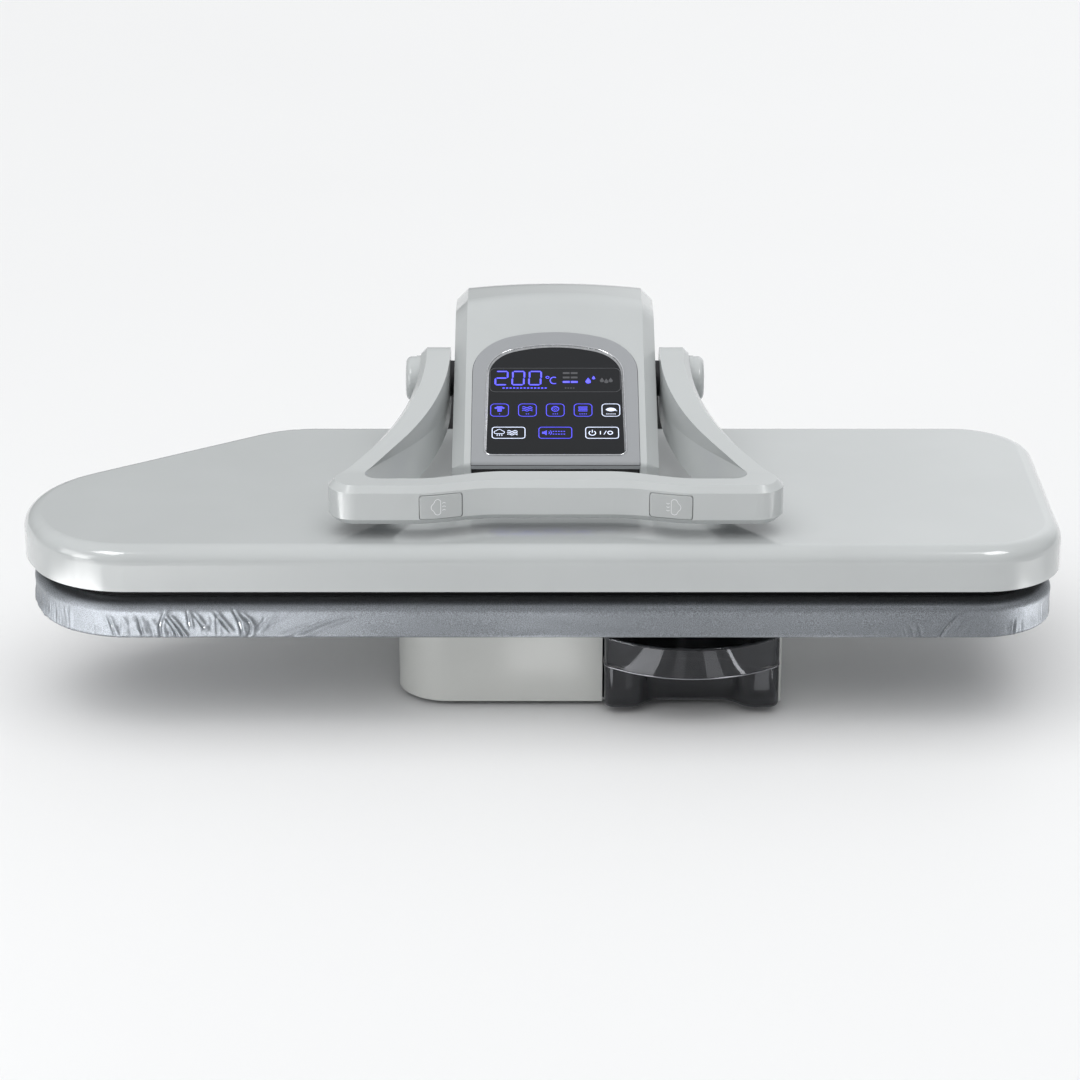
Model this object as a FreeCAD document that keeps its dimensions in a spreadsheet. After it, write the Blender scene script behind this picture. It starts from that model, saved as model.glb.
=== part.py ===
import FreeCAD
import Part
import Sketcher
import math
import os
from types import SimpleNamespace

# Steam ironing press: a padded board on a low base, a heated head on a spring-lifted arm,
# a U handle that turns on the arm, and a water tank that pulls out at the front.
# Millimetres. X runs along the board with the nose at -X, Y runs to the back, Z is up,
# and the ground under the feet is Z = 0.

# Driving dimensions
SIZES = {
    # head cover, seen from above
    "head_width": 830,
    "head_depth": 300,
    "head_front": -210,
    "nose_radius": 103,
    "nose_setback": 102.9,
    "front_left_radius": 84.2,
    "front_left_place": 90.8,
    "shoulder_radius": 84.3,
    "shoulder_place": 222.3,
    "front_right_radius": 68.9,
    "rear_right_radius": 64.4,
    # heights of the head
    "head_top": 158,
    "head_thickness": 35.5,
    "head_roll": 13.5,
    "head_wall": 3,
    # heating plate and shield
    "plate_gap": 0.4,
    "plate_thickness": 8,
    "plate_inset": 20,
    "shield_inset": 4,
    "shield_sheet": 1.2,
    "shield_rise": 16,
    "steam_hole_radius": 1.6,
    "steam_hole_step": 30,
    # board
    "board_inset": 6,
    "board_bottom": 80.5,
    "board_top": 110.5,
    "board_roll": 11,
    "cover_cloth": 0.9,
    "hem_width": 26,
    "tray_sheet": 1.5,
    "tray_rim": 12,
    # base
    "foot_height": 4.5,
    "foot_radius": 11,
    "base_left": -115,
    "base_right": 194.4,
    "base_front": -152,
    "base_rear": 206,
    "base_top": 74,
    "base_wall": 3,
    "base_corner": 42,
    "base_rear_corner": 30,
    "base_plate_sheet": 2,
    "boss_radius": 5,
    "screw_radius": 1.5,
    # tank bay and tank
    "bay_clearance": 1.5,
    "bay_wall": 1.8,
    "tank_left": 51.7,
    "tank_width": 139.7,
    "tank_front": -172,
    "tank_rear": 58,
    "tank_bottom": 6.9,
    "tank_line": 42,
    "tank_top": 70,
    "tank_wall": 2,
    "tank_scoop": 16,
    "tank_bulge": 26,
    "tank_lobe": 26,
    "cap_radius": 18.5,
    "dock_gap": 14,
    # arm: column housing, seen from the side
    "arm_place": 12.5,
    "column_half": 84,
    "column_chamfer": 10,
    "column_wall": 3,
    "column_front": -88,
    "column_rear": 186,
    "column_top": 269.6,
    "column_crown": 4,
    "face_slope": 24.5,
    "face_start_y": -82,
    "face_start_z": 187.5,
    "roll_front": 60,
    "roll_rear": 55,
    # rear hinge
    "hinge_y": 150,
    "hinge_z": 128,
    "barrel_radius": 36,
    "axle_radius": 8,
    "running_gap": 0.05,
    "cheek_radius": 52,
    "cheek_gap": 2,
    "cheek_thickness": 14,
    "bracket_sheet": 4,
    "barrel_clearance": 4,
    "ear_half": 95,
    "tower_wall_top": 118,
    "frame_half": 60,
    "frame_sheet": 3,
    # handle
    "pivot_y": 40,
    "pivot_z": 216,
    "boss_outer": 26.5,
    "shaft_radius": 6,
    "handle_inner": 87.5,
    "handle_width": 24.5,
    "grip_half": 179,
    "grip_front": -190,
    "grip_bottom": 170,
    "grip_height": 32,
    "grip_depth": 27,
    "grip_waist": 13,
    "grip_corner": 22,
    "handle_chamfer": 5,
    "handle_wall": 2.8,
    "cap_flange": 19.2,
    # steam buttons
    "button_place": 90,
    "button_width": 33,
    "button_height": 19.5,
    "button_middle": 185,
    "button_proud": 0.8,
    "button_gap": 0.45,
    # panel
    "bezel_half": 68.3,
    "bezel_shoulder": 137,
    "bezel_apex": 158,
    "bezel_proud": 0.8,
    "lens_half": 58,
    "lens_bottom": 3.3,
    "lens_shoulder": 124,
    "lens_apex": 142,
    "lens_thickness": 2,
    "board_thickness": 1.6,
}


class Size:
    """A number together with the spreadsheet expression that gives it."""

    def __init__(self, value, text):
        self.value = value
        self.text = text

    def __add__(self, other):
        return Size(self.value + number(other), f"({self.text} + {words(other)})")

    def __radd__(self, other):
        return Size(number(other) + self.value, f"({words(other)} + {self.text})")

    def __sub__(self, other):
        return Size(self.value - number(other), f"({self.text} - {words(other)})")

    def __rsub__(self, other):
        return Size(number(other) - self.value, f"({words(other)} - {self.text})")

    def __mul__(self, other):
        return Size(self.value * number(other), f"({self.text} * {words(other)})")

    __rmul__ = __mul__

    def __truediv__(self, other):
        return Size(self.value / number(other), f"({self.text} / {words(other)})")

    def __neg__(self):
        return Size(-self.value, f"(0 - {self.text})")


def number(size):
    return size.value if isinstance(size, Size) else float(size)


def words(size):
    return size.text if isinstance(size, Size) else f"({float(size)})"


def vector(x=0, y=0, z=0):
    return FreeCAD.Vector(number(x), number(y), number(z))


doc = FreeCAD.newDocument("steam_ironing_press")
sheet = doc.addObject("Spreadsheet::Sheet", "Sheet")
for row, (alias, amount) in enumerate(SIZES.items(), start=1):
    sheet.set(f"A{row}", alias)
    sheet.set(f"B{row}", str(amount))
    sheet.setAlias(f"B{row}", alias)
doc.recompute()
S = SimpleNamespace(**{alias: Size(float(amount), f"Sheet.{alias}") for alias, amount in SIZES.items()})
nodes = {}

# Levels and places that follow from the driving dimensions
DOCK_SHEET = 3
RIM_BOTTOM = S.head_top - S.head_thickness
PLATE_BOTTOM = S.board_top + S.plate_gap
PLATE_TOP = PLATE_BOTTOM + S.plate_thickness
BASE_BOTTOM = S.foot_height
FLOOR_TOP = S.foot_height + S.base_plate_sheet
COVER_UNDERSIDE = S.head_top - S.head_wall
TANK_RIGHT = S.tank_left + S.tank_width
BAY_LEFT = S.tank_left - S.bay_clearance
BAY_RIGHT = S.base_right - S.bay_wall
BAY_REAR = S.tank_rear + S.dock_gap
BAY_END = BAY_REAR + DOCK_SHEET
TANK_MIDDLE = S.tank_left + S.tank_width / 2
CHEEK_INNER = S.column_half + S.cheek_gap
CHEEK_OUTER = CHEEK_INNER + S.cheek_thickness
TOWER_FLOOR = S.hinge_z - S.barrel_radius - S.bracket_sheet - S.barrel_clearance
TOWER_FRONT = S.hinge_y - S.cheek_radius
TRAY_BOTTOM = S.board_bottom + S.cover_cloth + 0.6
HANDLE_OUTER = S.handle_inner + S.handle_width
SLOPE = math.radians(S.face_slope.value)


# Helpers for the document

def drive(thing, path, size):
    thing.setExpression(path, words(size))


def move(thing, place, path="Placement"):
    for axis, size in zip("xyz", place):
        drive(thing, f"{path}.Base.{axis}", size)


def node(piece, name):
    piece.Label = name
    nodes[name] = piece
    return piece


ALONG = {
    "X": FreeCAD.Rotation(FreeCAD.Vector(0, 1, 0), 90),
    "Y": FreeCAD.Rotation(FreeCAD.Vector(1, 0, 0), -90),
    "Z": FreeCAD.Rotation(),
}


def box(name, low, high):
    """A block between two corners."""
    piece = doc.addObject("Part::Box", name)
    for path, start, end in zip(("Length", "Width", "Height"), low, high):
        drive(piece, path, end - start)
    move(piece, low)
    return piece


def rod(name, start, axis, radius, length):
    """A cylinder from its start point along +X, +Y or +Z."""
    piece = doc.addObject("Part::Cylinder", name)
    drive(piece, "Radius", radius)
    drive(piece, "Height", length)
    piece.Placement = FreeCAD.Placement(FreeCAD.Vector(), ALONG[axis])
    move(piece, start)
    return piece


def cone(name, start, axis, radius, end_radius, length):
    piece = doc.addObject("Part::Cone", name)
    drive(piece, "Radius1", radius)
    drive(piece, "Radius2", end_radius)
    drive(piece, "Height", length)
    piece.Placement = FreeCAD.Placement(FreeCAD.Vector(), ALONG[axis])
    move(piece, start)
    return piece


def fuse(name, pieces):
    joined = doc.addObject("Part::MultiFuse", name)
    joined.Shapes = pieces
    joined.Refine = True
    return joined


def group(name, pieces):
    """Separate solids kept in one node."""
    together = doc.addObject("Part::Compound", name)
    together.Links = pieces
    return together


def cut(name, base, tools):
    result = doc.addObject("Part::Cut", name)
    result.Base = base
    result.Tool = tools[0] if len(tools) == 1 else group(name + "_tools", tools)
    return result


def tube(name, start, axis, radius, bore, length):
    outer = rod(name + "_outer", start, axis, radius, length)
    inner = rod(name + "_bore", start, axis, bore, length)
    return cut(name, outer, [inner])


def feature(name, shape):
    """A piece whose shape is worked out in code from the sheet."""
    piece = doc.addObject("Part::Feature", name)
    piece.Shape = shape
    piece.Placement = FreeCAD.Placement()
    return piece


# Helpers for bodies and sketches

def new_body(name):
    return doc.addObject("PartDesign::Body", name)


def new_sketch(body, name, plane, height, at=(0, 0)):
    """A sketch on one of the body's own origin planes, lifted along the plane's normal."""
    sketch = body.newObject("Sketcher::SketchObject", name)
    support = [p for p in body.Origin.OriginFeatures if p.Role == plane][0]
    sketch.AttachmentSupport = [(support, "")]
    sketch.MapMode = "FlatFace"
    move(sketch, (at[0], at[1], height), "AttachmentOffset")
    return sketch


def pin(sketch, geometry, point, x, y):
    """Holds a point of the sketch at x, y from its origin."""
    for kind, size in (("DistanceX", x), ("DistanceY", y)):
        index = sketch.addConstraint(Sketcher.Constraint(kind, -1, 1, geometry, point, number(size)))
        drive(sketch, f"Constraints[{index}]", size)


def set_radius(sketch, geometry, radius):
    index = sketch.addConstraint(Sketcher.Constraint("Radius", geometry, number(radius)))
    drive(sketch, f"Constraints[{index}]", radius)


def outline(body, name, plane, height, corners, at=(0, 0)):
    """A closed outline of straight sides. A corner is (x, y) or (x, y, radius)."""
    sketch = new_sketch(body, name, plane, height, at)
    corners = [(c[0], c[1], c[2] if len(c) > 2 else 0) for c in corners]
    points = [vector(x, y) for x, y, _ in corners]
    count = len(points)
    enter, leave, middle = [], [], []
    for i, (_, _, radius) in enumerate(corners):
        back = (points[i - 1] - points[i]).normalize()
        ahead = (points[(i + 1) % count] - points[i]).normalize()
        half = back.getAngle(ahead) / 2
        reach = number(radius) / math.tan(half)
        enter.append(points[i] + back * reach)
        leave.append(points[i] + ahead * reach)
        bisector = (back + ahead).normalize()
        centre = points[i] + bisector * (number(radius) / math.sin(half))
        middle.append(centre - bisector * number(radius))
    for i in range(count):
        sketch.addGeometry(Part.LineSegment(leave[i], enter[(i + 1) % count]), False)
    for i, (x, y, radius) in enumerate(corners):
        before = (i - 1) % count
        if number(radius) == 0:
            sketch.addConstraint(Sketcher.Constraint("Coincident", before, 2, i, 1))
            pin(sketch, i, 1, x, y)
            continue
        arc = sketch.addGeometry(Part.Arc(enter[i], middle[i], leave[i]), False)
        starts_here = sketch.getPoint(arc, 1).distanceToPoint(enter[i]) < 1e-4
        first, last = (1, 2) if starts_here else (2, 1)
        sketch.addConstraint(Sketcher.Constraint("Tangent", before, 2, arc, first))
        sketch.addConstraint(Sketcher.Constraint("Tangent", arc, last, i, 1))
        corner = sketch.addGeometry(Part.Point(points[i]), True)
        sketch.addConstraint(Sketcher.Constraint("PointOnObject", corner, 1, before))
        sketch.addConstraint(Sketcher.Constraint("PointOnObject", corner, 1, i))
        pin(sketch, corner, 1, x, y)
        set_radius(sketch, arc, radius)
    return sketch


def rectangle(x0, y0, x1, y1, radius=0):
    return [(x0, y0, radius), (x1, y0, radius), (x1, y1, radius), (x0, y1, radius)]


def circle(body, name, plane, height, radius, at=(0, 0)):
    sketch = new_sketch(body, name, plane, height, at)
    sketch.addGeometry(Part.Circle(vector(), vector(0, 0, 1), number(radius)), False)
    sketch.addConstraint(Sketcher.Constraint("Coincident", 0, 3, -1, 1))
    set_radius(sketch, 0, radius)
    return sketch


def pad(body, profile, length, reverse=False, both_ways=False):
    solid = body.newObject("PartDesign::Pad", profile.Name + "_pad")
    solid.Profile = profile
    solid.Reversed = reverse
    solid.Midplane = both_ways
    drive(solid, "Length", length)
    doc.recompute()
    return solid


def pocket(body, profile, length, reverse=False, both_ways=False):
    """Cuts the profile out, and stops if nothing was cut."""
    before = body.Tip.Shape.Volume
    hole = body.newObject("PartDesign::Pocket", profile.Name + "_pocket")
    hole.Profile = profile
    hole.Reversed = reverse
    hole.Midplane = both_ways
    drive(hole, "Length", length)
    doc.recompute()
    if not before - hole.Shape.Volume > 1e-3:
        raise RuntimeError(f"{hole.Name} cuts nothing")
    return hole


def round_edges(body, radius, pick, kind="Fillet"):
    """A fillet or chamfer on the edges of the tip that pick accepts."""
    base = body.Tip
    names = [f"Edge{i}" for i, edge in enumerate(base.Shape.Edges, start=1) if pick(edge)]
    dress = body.newObject(f"PartDesign::{kind}", f"{base.Name}_{kind.lower()}")
    dress.Base = (base, names)
    drive(dress, "Radius" if kind == "Fillet" else "Size", radius)
    doc.recompute()
    return dress


def row_of(body, source, direction, spacing, count):
    """Repeats a pad or pocket along one axis of its sketch."""
    pattern = body.newObject("PartDesign::LinearPattern", source.Name + "_row")
    pattern.Originals = [source]
    pattern.Direction = (source.Profile[0], [direction])
    pattern.Occurrences = count
    drive(pattern, "Length", spacing * (count - 1))
    body.Tip = pattern
    doc.recompute()
    return pattern


def at_height(edge, level):
    box_of_edge = edge.BoundBox
    return abs(box_of_edge.ZMin - number(level)) < 0.01 and abs(box_of_edge.ZMax - number(level)) < 0.01


# The press outline: the hull of five circles, from which head, shield, plate and board are inset

PRESS_CIRCLES = [
    (S.head_width / 2 - S.front_right_radius, S.head_front + S.front_right_radius, S.front_right_radius),
    (S.head_width / 2 - S.rear_right_radius, S.head_front + S.head_depth - S.rear_right_radius,
     S.rear_right_radius),
    (S.shoulder_place - S.head_width / 2, S.head_front + S.head_depth - S.shoulder_radius, S.shoulder_radius),
    (S.nose_radius - S.head_width / 2, S.head_front + S.nose_setback, S.nose_radius),
    (S.front_left_place - S.head_width / 2, S.head_front + S.front_left_radius, S.front_left_radius),
]


def press_outline(body, name, height, inset):
    sketch = new_sketch(body, name, "XY_Plane", height)
    centres = [vector(x, y) for x, y, _ in PRESS_CIRCLES]
    radii = [number(radius) - number(inset) for _, _, radius in PRESS_CIRCLES]
    count = len(centres)
    outward = []
    for i in range(count):
        run = centres[(i + 1) % count] - centres[i]
        ahead = vector(run.x, run.y).normalize()
        side = vector(ahead.y, -ahead.x)
        tilt = math.asin((radii[i] - radii[(i + 1) % count]) / run.Length)
        outward.append(side * math.cos(tilt) + ahead * math.sin(tilt))
    for i in range(count):
        start = math.atan2(outward[i - 1].y, outward[i - 1].x)
        end = math.atan2(outward[i].y, outward[i].x)
        if end < start:
            end += 2 * math.pi
        ring = Part.Circle(centres[i], vector(0, 0, 1), radii[i])
        sketch.addGeometry(Part.ArcOfCircle(ring, start, end), False)
    for i in range(count):
        start = centres[i] + outward[i] * radii[i]
        end = centres[(i + 1) % count] + outward[i] * radii[(i + 1) % count]
        sketch.addGeometry(Part.LineSegment(start, end), False)
    for i in range(count):
        sketch.addConstraint(Sketcher.Constraint("Tangent", i, 2, count + i, 1))
        sketch.addConstraint(Sketcher.Constraint("Tangent", count + i, 2, (i + 1) % count, 1))
    for i, (x, y, radius) in enumerate(PRESS_CIRCLES):
        pin(sketch, i, 3, x, y)
        set_radius(sketch, i, radius - inset)
    return sketch


def press_block(name, low, high, inset, roll=0):
    """A block in the press outline, its top edge rolled over."""
    body = new_body(name)
    pad(body, press_outline(body, name + "_outline", low, inset), high - low)
    if number(roll):
        round_edges(body, roll, lambda edge: at_height(edge, high))
    return body


def base_outline(body, name, height, inset):
    """The base seen from above: a broad corner at the left front, round corners behind."""
    left = S.base_left + inset
    right = S.base_right - inset
    front = S.base_front + inset
    rear = S.base_rear - inset
    corners = [
        (left, front, S.base_corner - inset),
        (right, front),
        (right, rear, S.base_rear_corner - inset),
        (left, rear, S.base_rear_corner - inset),
    ]
    return outline(body, name, "XY_Plane", height, corners)


# Base

def make_base_shell():
    """White moulded housing, open below, cut away where the tank bay stands."""
    body = new_body("base_shell_body")
    roof = S.base_top - S.base_wall
    pad(body, base_outline(body, "shell_outline", BASE_BOTTOM, 0), S.base_top - BASE_BOTTOM)
    hollow = base_outline(body, "hollow_outline", BASE_BOTTOM, S.base_wall)
    pocket(body, hollow, roof - BASE_BOTTOM, reverse=True)
    vent = rectangle(-60, 20, -56, 50)
    slot = pocket(body, outline(body, "vent_slot", "YZ_Plane", S.base_left - 1, vent), S.base_wall + 2,
                  reverse=True)
    row_of(body, slot, "H_Axis", 9, 7)
    for x, y in BOSS_PLACES:
        boss = circle(body, "boss", "XY_Plane", FLOOR_TOP, S.boss_radius, at=(x, y))
        pad(body, boss, roof - FLOOR_TOP)
        hole = circle(body, "boss_hole", "XY_Plane", FLOOR_TOP, S.screw_radius + S.running_gap, at=(x, y))
        pocket(body, hole, BOSS_DEPTH, reverse=True)
    lip = S.base_front + S.base_wall + SEAM
    tools = [
        box("bay_behind_lip", (BAY_LEFT - S.bay_wall - SEAM, lip, 0), (S.base_right + 1, BAY_END + SEAM, 80)),
        box("bay_front", (BAY_LEFT, S.base_front - 1, 0), (S.base_right + 1, lip, 80)),
        rod("gland_hole", (GLAND_X, S.base_rear - 8, GLAND_Z), "Y", GLAND_BODY + 0.1, 12),
    ]
    tools += post_holes("shell", POST_PLACES[:1] + POST_PLACES[3:])
    tools += [rod("bracket_hole", (x, y, roof - 1), "Z", BRACKET_SCREW + 0.1, 10) for x, y in BRACKET_SCREWS]
    return node(cut("base_shell", body, tools), "base_shell")


def post_holes(name, places):
    """Countersunk holes for the board screws in the base's roof."""
    roof = S.base_top - S.base_wall
    holes = []
    for x, y in places:
        holes.append(rod(name + "_hole", (x, y, roof - 1), "Z", POST_SCREW + 0.1, S.base_wall + 2))
        sink = (POST_SCREW * 2 + 0.1, POST_SCREW + 0.1, POST_SCREW)
        holes.append(cone(name + "_sink", (x, y, roof), "Z", *sink))
    return holes


def make_tank_bay():
    """Three-sided channel for the tank: two walls on the floor and a roof."""
    left = BAY_LEFT - S.bay_wall
    outer = box("bay_block", (left, S.base_front, FLOOR_TOP), (S.base_right, BAY_END, S.base_top))
    skirt = box("bay_skirt", (BAY_RIGHT, S.base_front, BASE_BOTTOM), (S.base_right, BAY_END, S.base_top))
    inside_top = S.base_top - S.base_wall
    inside = box("bay_inside", (BAY_LEFT, S.base_front - 1, 0), (BAY_RIGHT, BAY_END + 1, inside_top))
    lip = box("bay_lip", (left - 1, S.base_front - 1, 0),
              (BAY_LEFT, S.base_front + S.base_wall + SEAM * 2, S.base_top + 1))
    tools = [inside, lip] + post_holes("bay", POST_PLACES[1:3])
    return node(cut("tank_bay", fuse("bay_solid", [outer, skirt]), tools), "tank_bay")


def make_hinge_tower():
    """Raised seat of the hinge bracket on the base, with a wall behind it."""
    body = new_body("hinge_tower_body")
    left = S.arm_place - CHEEK_OUTER
    right = S.arm_place + CHEEK_OUTER
    corners = [(left, TOWER_FRONT), (right, TOWER_FRONT), (right, S.base_rear, 8), (left, S.base_rear, 8)]
    pad(body, outline(body, "tower_outline", "XY_Plane", S.base_top, corners), S.tower_wall_top - S.base_top)
    trough = rectangle(left - 1, TOWER_FRONT - 1, right + 1, S.hinge_y + S.cheek_radius)
    trough_sketch = outline(body, "trough_outline", "XY_Plane", S.tower_wall_top, trough)
    pocket(body, trough_sketch, S.tower_wall_top - TOWER_FLOOR)
    wall = S.base_wall
    hollow = rectangle(left + wall, TOWER_FRONT + wall, right - wall, S.base_rear - wall - 1)
    pocket(body, outline(body, "tower_hollow", "XY_Plane", S.base_top, hollow),
           TOWER_FLOOR - S.base_wall - S.base_top, reverse=True)
    for x, y in BRACKET_SCREWS:
        boss = circle(body, "tower_boss", "XY_Plane", S.base_top, BRACKET_SCREW + 3, at=(x, y))
        pad(body, boss, TOWER_FLOOR - S.base_top - 1)
        hole = circle(body, "tower_hole", "XY_Plane", S.base_top, BRACKET_SCREW + 0.1, at=(x, y))
        pocket(body, hole, TOWER_FLOOR - S.base_top, reverse=True)
    return node(body, "hinge_tower")


def corners_of(x0, x1, y0, y1):
    return [(x0, y0), (x1, y0), (x1, y1), (x0, y1)]


SEAM = 0.1
BOSS_DEPTH = 16
BOSS_PLACES = corners_of(S.base_left + 14, BAY_LEFT - 14, S.base_front + 42, TOWER_FRONT - 14)
BOSS_PLACES.append((S.base_right - 14, BAY_REAR + 16))
BOSS_PLACES.append((S.base_left + 14, S.base_rear - 20))
BOSS_PLACES.append((S.base_right - 14, S.base_rear - 20))
POST_SCREW = 2
POST_RADIUS = 7
POST_PLACES = corners_of(S.base_left + 30, S.base_right - 30, S.base_front + 30, TOWER_FRONT - 50)
BRACKET_SCREW = 2.5
BRACKET_SCREWS = corners_of(S.arm_place - 70, S.arm_place + 70, S.hinge_y - 24, S.hinge_y + 24)
GLAND_X = S.base_left + 40
GLAND_Z = S.foot_height + 26
GLAND_BODY = 7
GLAND_BORE = 4
GLAND_FLANGE = 9
GLAND_PROUD = 4
FEET_PLACES = corners_of(S.base_left + 28, S.base_right - 22, S.base_front + 28, S.base_rear - 40)


def make_base_plate():
    """Sheet steel floor that closes the shell and carries the feet."""
    body = new_body("base_plate_body")
    inset = S.base_wall + 0.3
    pad(body, base_outline(body, "floor_outline", BASE_BOTTOM, inset), S.base_plate_sheet)
    for x, y in BOSS_PLACES:
        hole = circle(body, "floor_hole", "XY_Plane", BASE_BOTTOM, S.screw_radius + 0.3, at=(x, y))
        pocket(body, hole, S.base_plate_sheet, reverse=True)
    return node(body, "base_plate")


def make_rubber_feet():
    feet = [cone("foot", (x, y, 0), "Z", S.foot_radius - 2, S.foot_radius, S.foot_height)
            for x, y in FEET_PLACES]
    return node(group("rubber_feet", feet), "rubber_feet")


def screw(name, place, axis_sign, head_radius, head_height, shank_radius, shank_length):
    """A pan head screw standing along Z, its head below (sign 1) or above (sign -1) its shank."""
    x, y, z = place
    if axis_sign > 0:
        head = rod(name + "_head", (x, y, z - head_height), "Z", head_radius, head_height)
        shank = rod(name + "_shank", (x, y, z), "Z", shank_radius, shank_length)
    else:
        head = rod(name + "_head", (x, y, z), "Z", head_radius, head_height)
        shank = rod(name + "_shank", (x, y, z - shank_length), "Z", shank_radius, shank_length)
    return fuse(name, [head, shank])


def make_base_screws():
    screws = [screw("floor_screw", (x, y, BASE_BOTTOM), 1, 3, 1.4, S.screw_radius, BOSS_DEPTH - 2)
              for x, y in BOSS_PLACES]
    return node(group("base_screws", screws), "base_screws")


def make_board_posts():
    """Steel spacers that carry the board tray above the shell."""
    length = TRAY_BOTTOM - S.base_top
    posts = [tube("board_post", (x, y, S.base_top), "Z", POST_RADIUS, POST_SCREW + 0.1, length)
             for x, y in POST_PLACES]
    return node(group("board_posts", posts), "board_posts")


def make_board_screws():
    """Countersunk screws up through the shell roof and the posts into the tray."""
    roof = S.base_top - S.base_wall
    screws = []
    for x, y in POST_PLACES:
        head = cone("board_screw_head", (x, y, roof), "Z", POST_SCREW * 2, POST_SCREW, POST_SCREW)
        shank = rod("board_screw_shank", (x, y, roof), "Z", POST_SCREW, TRAY_BOTTOM + S.tray_sheet - roof)
        screws.append(fuse("board_screw", [head, shank]))
    return node(group("board_screws", screws), "board_screws")


def make_hinge_cheek(side, name):
    """Dark cover over one bracket ear, standing on the tower floor."""
    body = new_body(name + "_body")
    inner_x = S.arm_place + CHEEK_INNER if side > 0 else S.arm_place - CHEEK_OUTER
    profile = [
        (TOWER_FRONT, TOWER_FLOOR),
        (S.hinge_y + S.cheek_radius, TOWER_FLOOR),
        (S.hinge_y + S.cheek_radius, S.hinge_z + S.cheek_radius, S.cheek_radius - 1),
        (TOWER_FRONT, S.hinge_z + S.cheek_radius, S.cheek_radius - 1),
    ]
    pad(body, outline(body, name + "_profile", "YZ_Plane", inner_x, profile), S.cheek_thickness)
    outer_x = number(inner_x) + number(S.cheek_thickness) if side > 0 else number(inner_x)

    def on_outer_face(edge):
        bounds = edge.BoundBox
        return abs(bounds.XMin - outer_x) < 0.01 and abs(bounds.XMax - outer_x) < 0.01 \
            and bounds.ZMax > number(TOWER_FLOOR) + 1

    round_edges(body, 3, on_outer_face)
    room = rectangle(S.hinge_y - EAR_HALF_DEPTH - 1, TOWER_FLOOR,
                     S.hinge_y + EAR_HALF_DEPTH + 1, S.hinge_z + EAR_TOP + 1)
    wall = S.ear_half - S.bracket_sheet - CHEEK_INNER - 0.5
    if side > 0:
        room_end = S.arm_place + S.ear_half + 2.5
    else:
        room_end = S.arm_place - S.ear_half + S.bracket_sheet + 0.5
    pocket(body, outline(body, name + "_room", "YZ_Plane", room_end, room), S.bracket_sheet + 3)
    wall_end = S.arm_place + CHEEK_INNER + wall if side > 0 else S.arm_place - CHEEK_INNER
    passage = rectangle(S.hinge_y - EAR_HALF_DEPTH - 1, TOWER_FLOOR,
                        S.hinge_y + EAR_HALF_DEPTH + 1, TOWER_FLOOR + S.bracket_sheet + 0.5)
    pocket(body, outline(body, name + "_passage", "YZ_Plane", wall_end, passage), wall)
    bore = circle(body, name + "_bore", "YZ_Plane", wall_end, S.axle_radius + 0.5, at=(S.hinge_y, S.hinge_z))
    pocket(body, bore, wall)
    return node(body, name)


EAR_HALF_DEPTH = 32
EAR_TOP = 28
REST_HALF = 7
REST_REAR = 23


def make_hinge_bracket():
    """Folded steel bracket with two ears that hold the axle."""
    body = new_body("hinge_bracket_body")
    front = S.hinge_y - EAR_HALF_DEPTH
    rear = S.hinge_y + EAR_HALF_DEPTH
    ear = [
        (front, TOWER_FLOOR),
        (rear, TOWER_FLOOR),
        (rear, S.hinge_z + EAR_TOP, 26),
        (front, S.hinge_z + EAR_TOP, 26),
    ]
    pad(body, outline(body, "ear_profile", "YZ_Plane", S.arm_place, ear), S.ear_half * 2, both_ways=True)
    gap = rectangle(front - 1, TOWER_FLOOR + S.bracket_sheet, rear + 1, S.hinge_z + EAR_TOP + 1)
    gap_width = (S.ear_half - S.bracket_sheet) * 2
    pocket(body, outline(body, "ear_gap", "YZ_Plane", S.arm_place, gap), gap_width, both_ways=True)
    bore = circle(body, "axle_bore", "YZ_Plane", S.arm_place, S.axle_radius + S.running_gap,
                  at=(S.hinge_y, S.hinge_z))
    pocket(body, bore, S.ear_half * 2 + 2, both_ways=True)
    for x, y in BRACKET_SCREWS:
        hole = circle(body, "bracket_hole", "XY_Plane", TOWER_FLOOR, BRACKET_SCREW + 0.1, at=(x, y))
        pocket(body, hole, S.bracket_sheet, reverse=True)
    rest_top = S.hinge_z - SPRING_RADIUS - SPRING_WIRE
    floor = TOWER_FLOOR + S.bracket_sheet
    for side in (-1, 1):
        middle = S.arm_place + side * SPRING_START
        tab = rectangle(middle - REST_HALF, S.hinge_y - REST_REAR - 3,
                        middle + REST_HALF, S.hinge_y - REST_REAR)
        pad(body, outline(body, "spring_rest", "XY_Plane", floor - 1, tab), rest_top - floor + 1)
    return node(body, "hinge_bracket")


def make_bracket_screws():
    """Bolts from under the roof up through the tower into the bracket."""
    roof = S.base_top - S.base_wall
    screws = [screw("bracket_bolt", (x, y, roof), 1, 4.5, 3, BRACKET_SCREW,
                    TOWER_FLOOR + S.bracket_sheet - roof) for x, y in BRACKET_SCREWS]
    return node(group("bracket_screws", screws), "bracket_screws")


CLIP_SHEET = 1.2
CLIP_GROOVE = 1


def make_hinge_axle():
    half = S.ear_half + 2
    bar = rod("axle_bar", (S.arm_place - half, S.hinge_y, S.hinge_z), "X", S.axle_radius, half * 2)
    grooves = [tube("axle_groove", (x, S.hinge_y, S.hinge_z), "X", S.axle_radius + 1,
                    S.axle_radius - CLIP_GROOVE, CLIP_SHEET) for x in clip_places()]
    return node(cut("hinge_axle", bar, grooves), "hinge_axle")


def clip_places():
    return [S.arm_place - S.ear_half - CLIP_SHEET, S.arm_place + S.ear_half]


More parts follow.
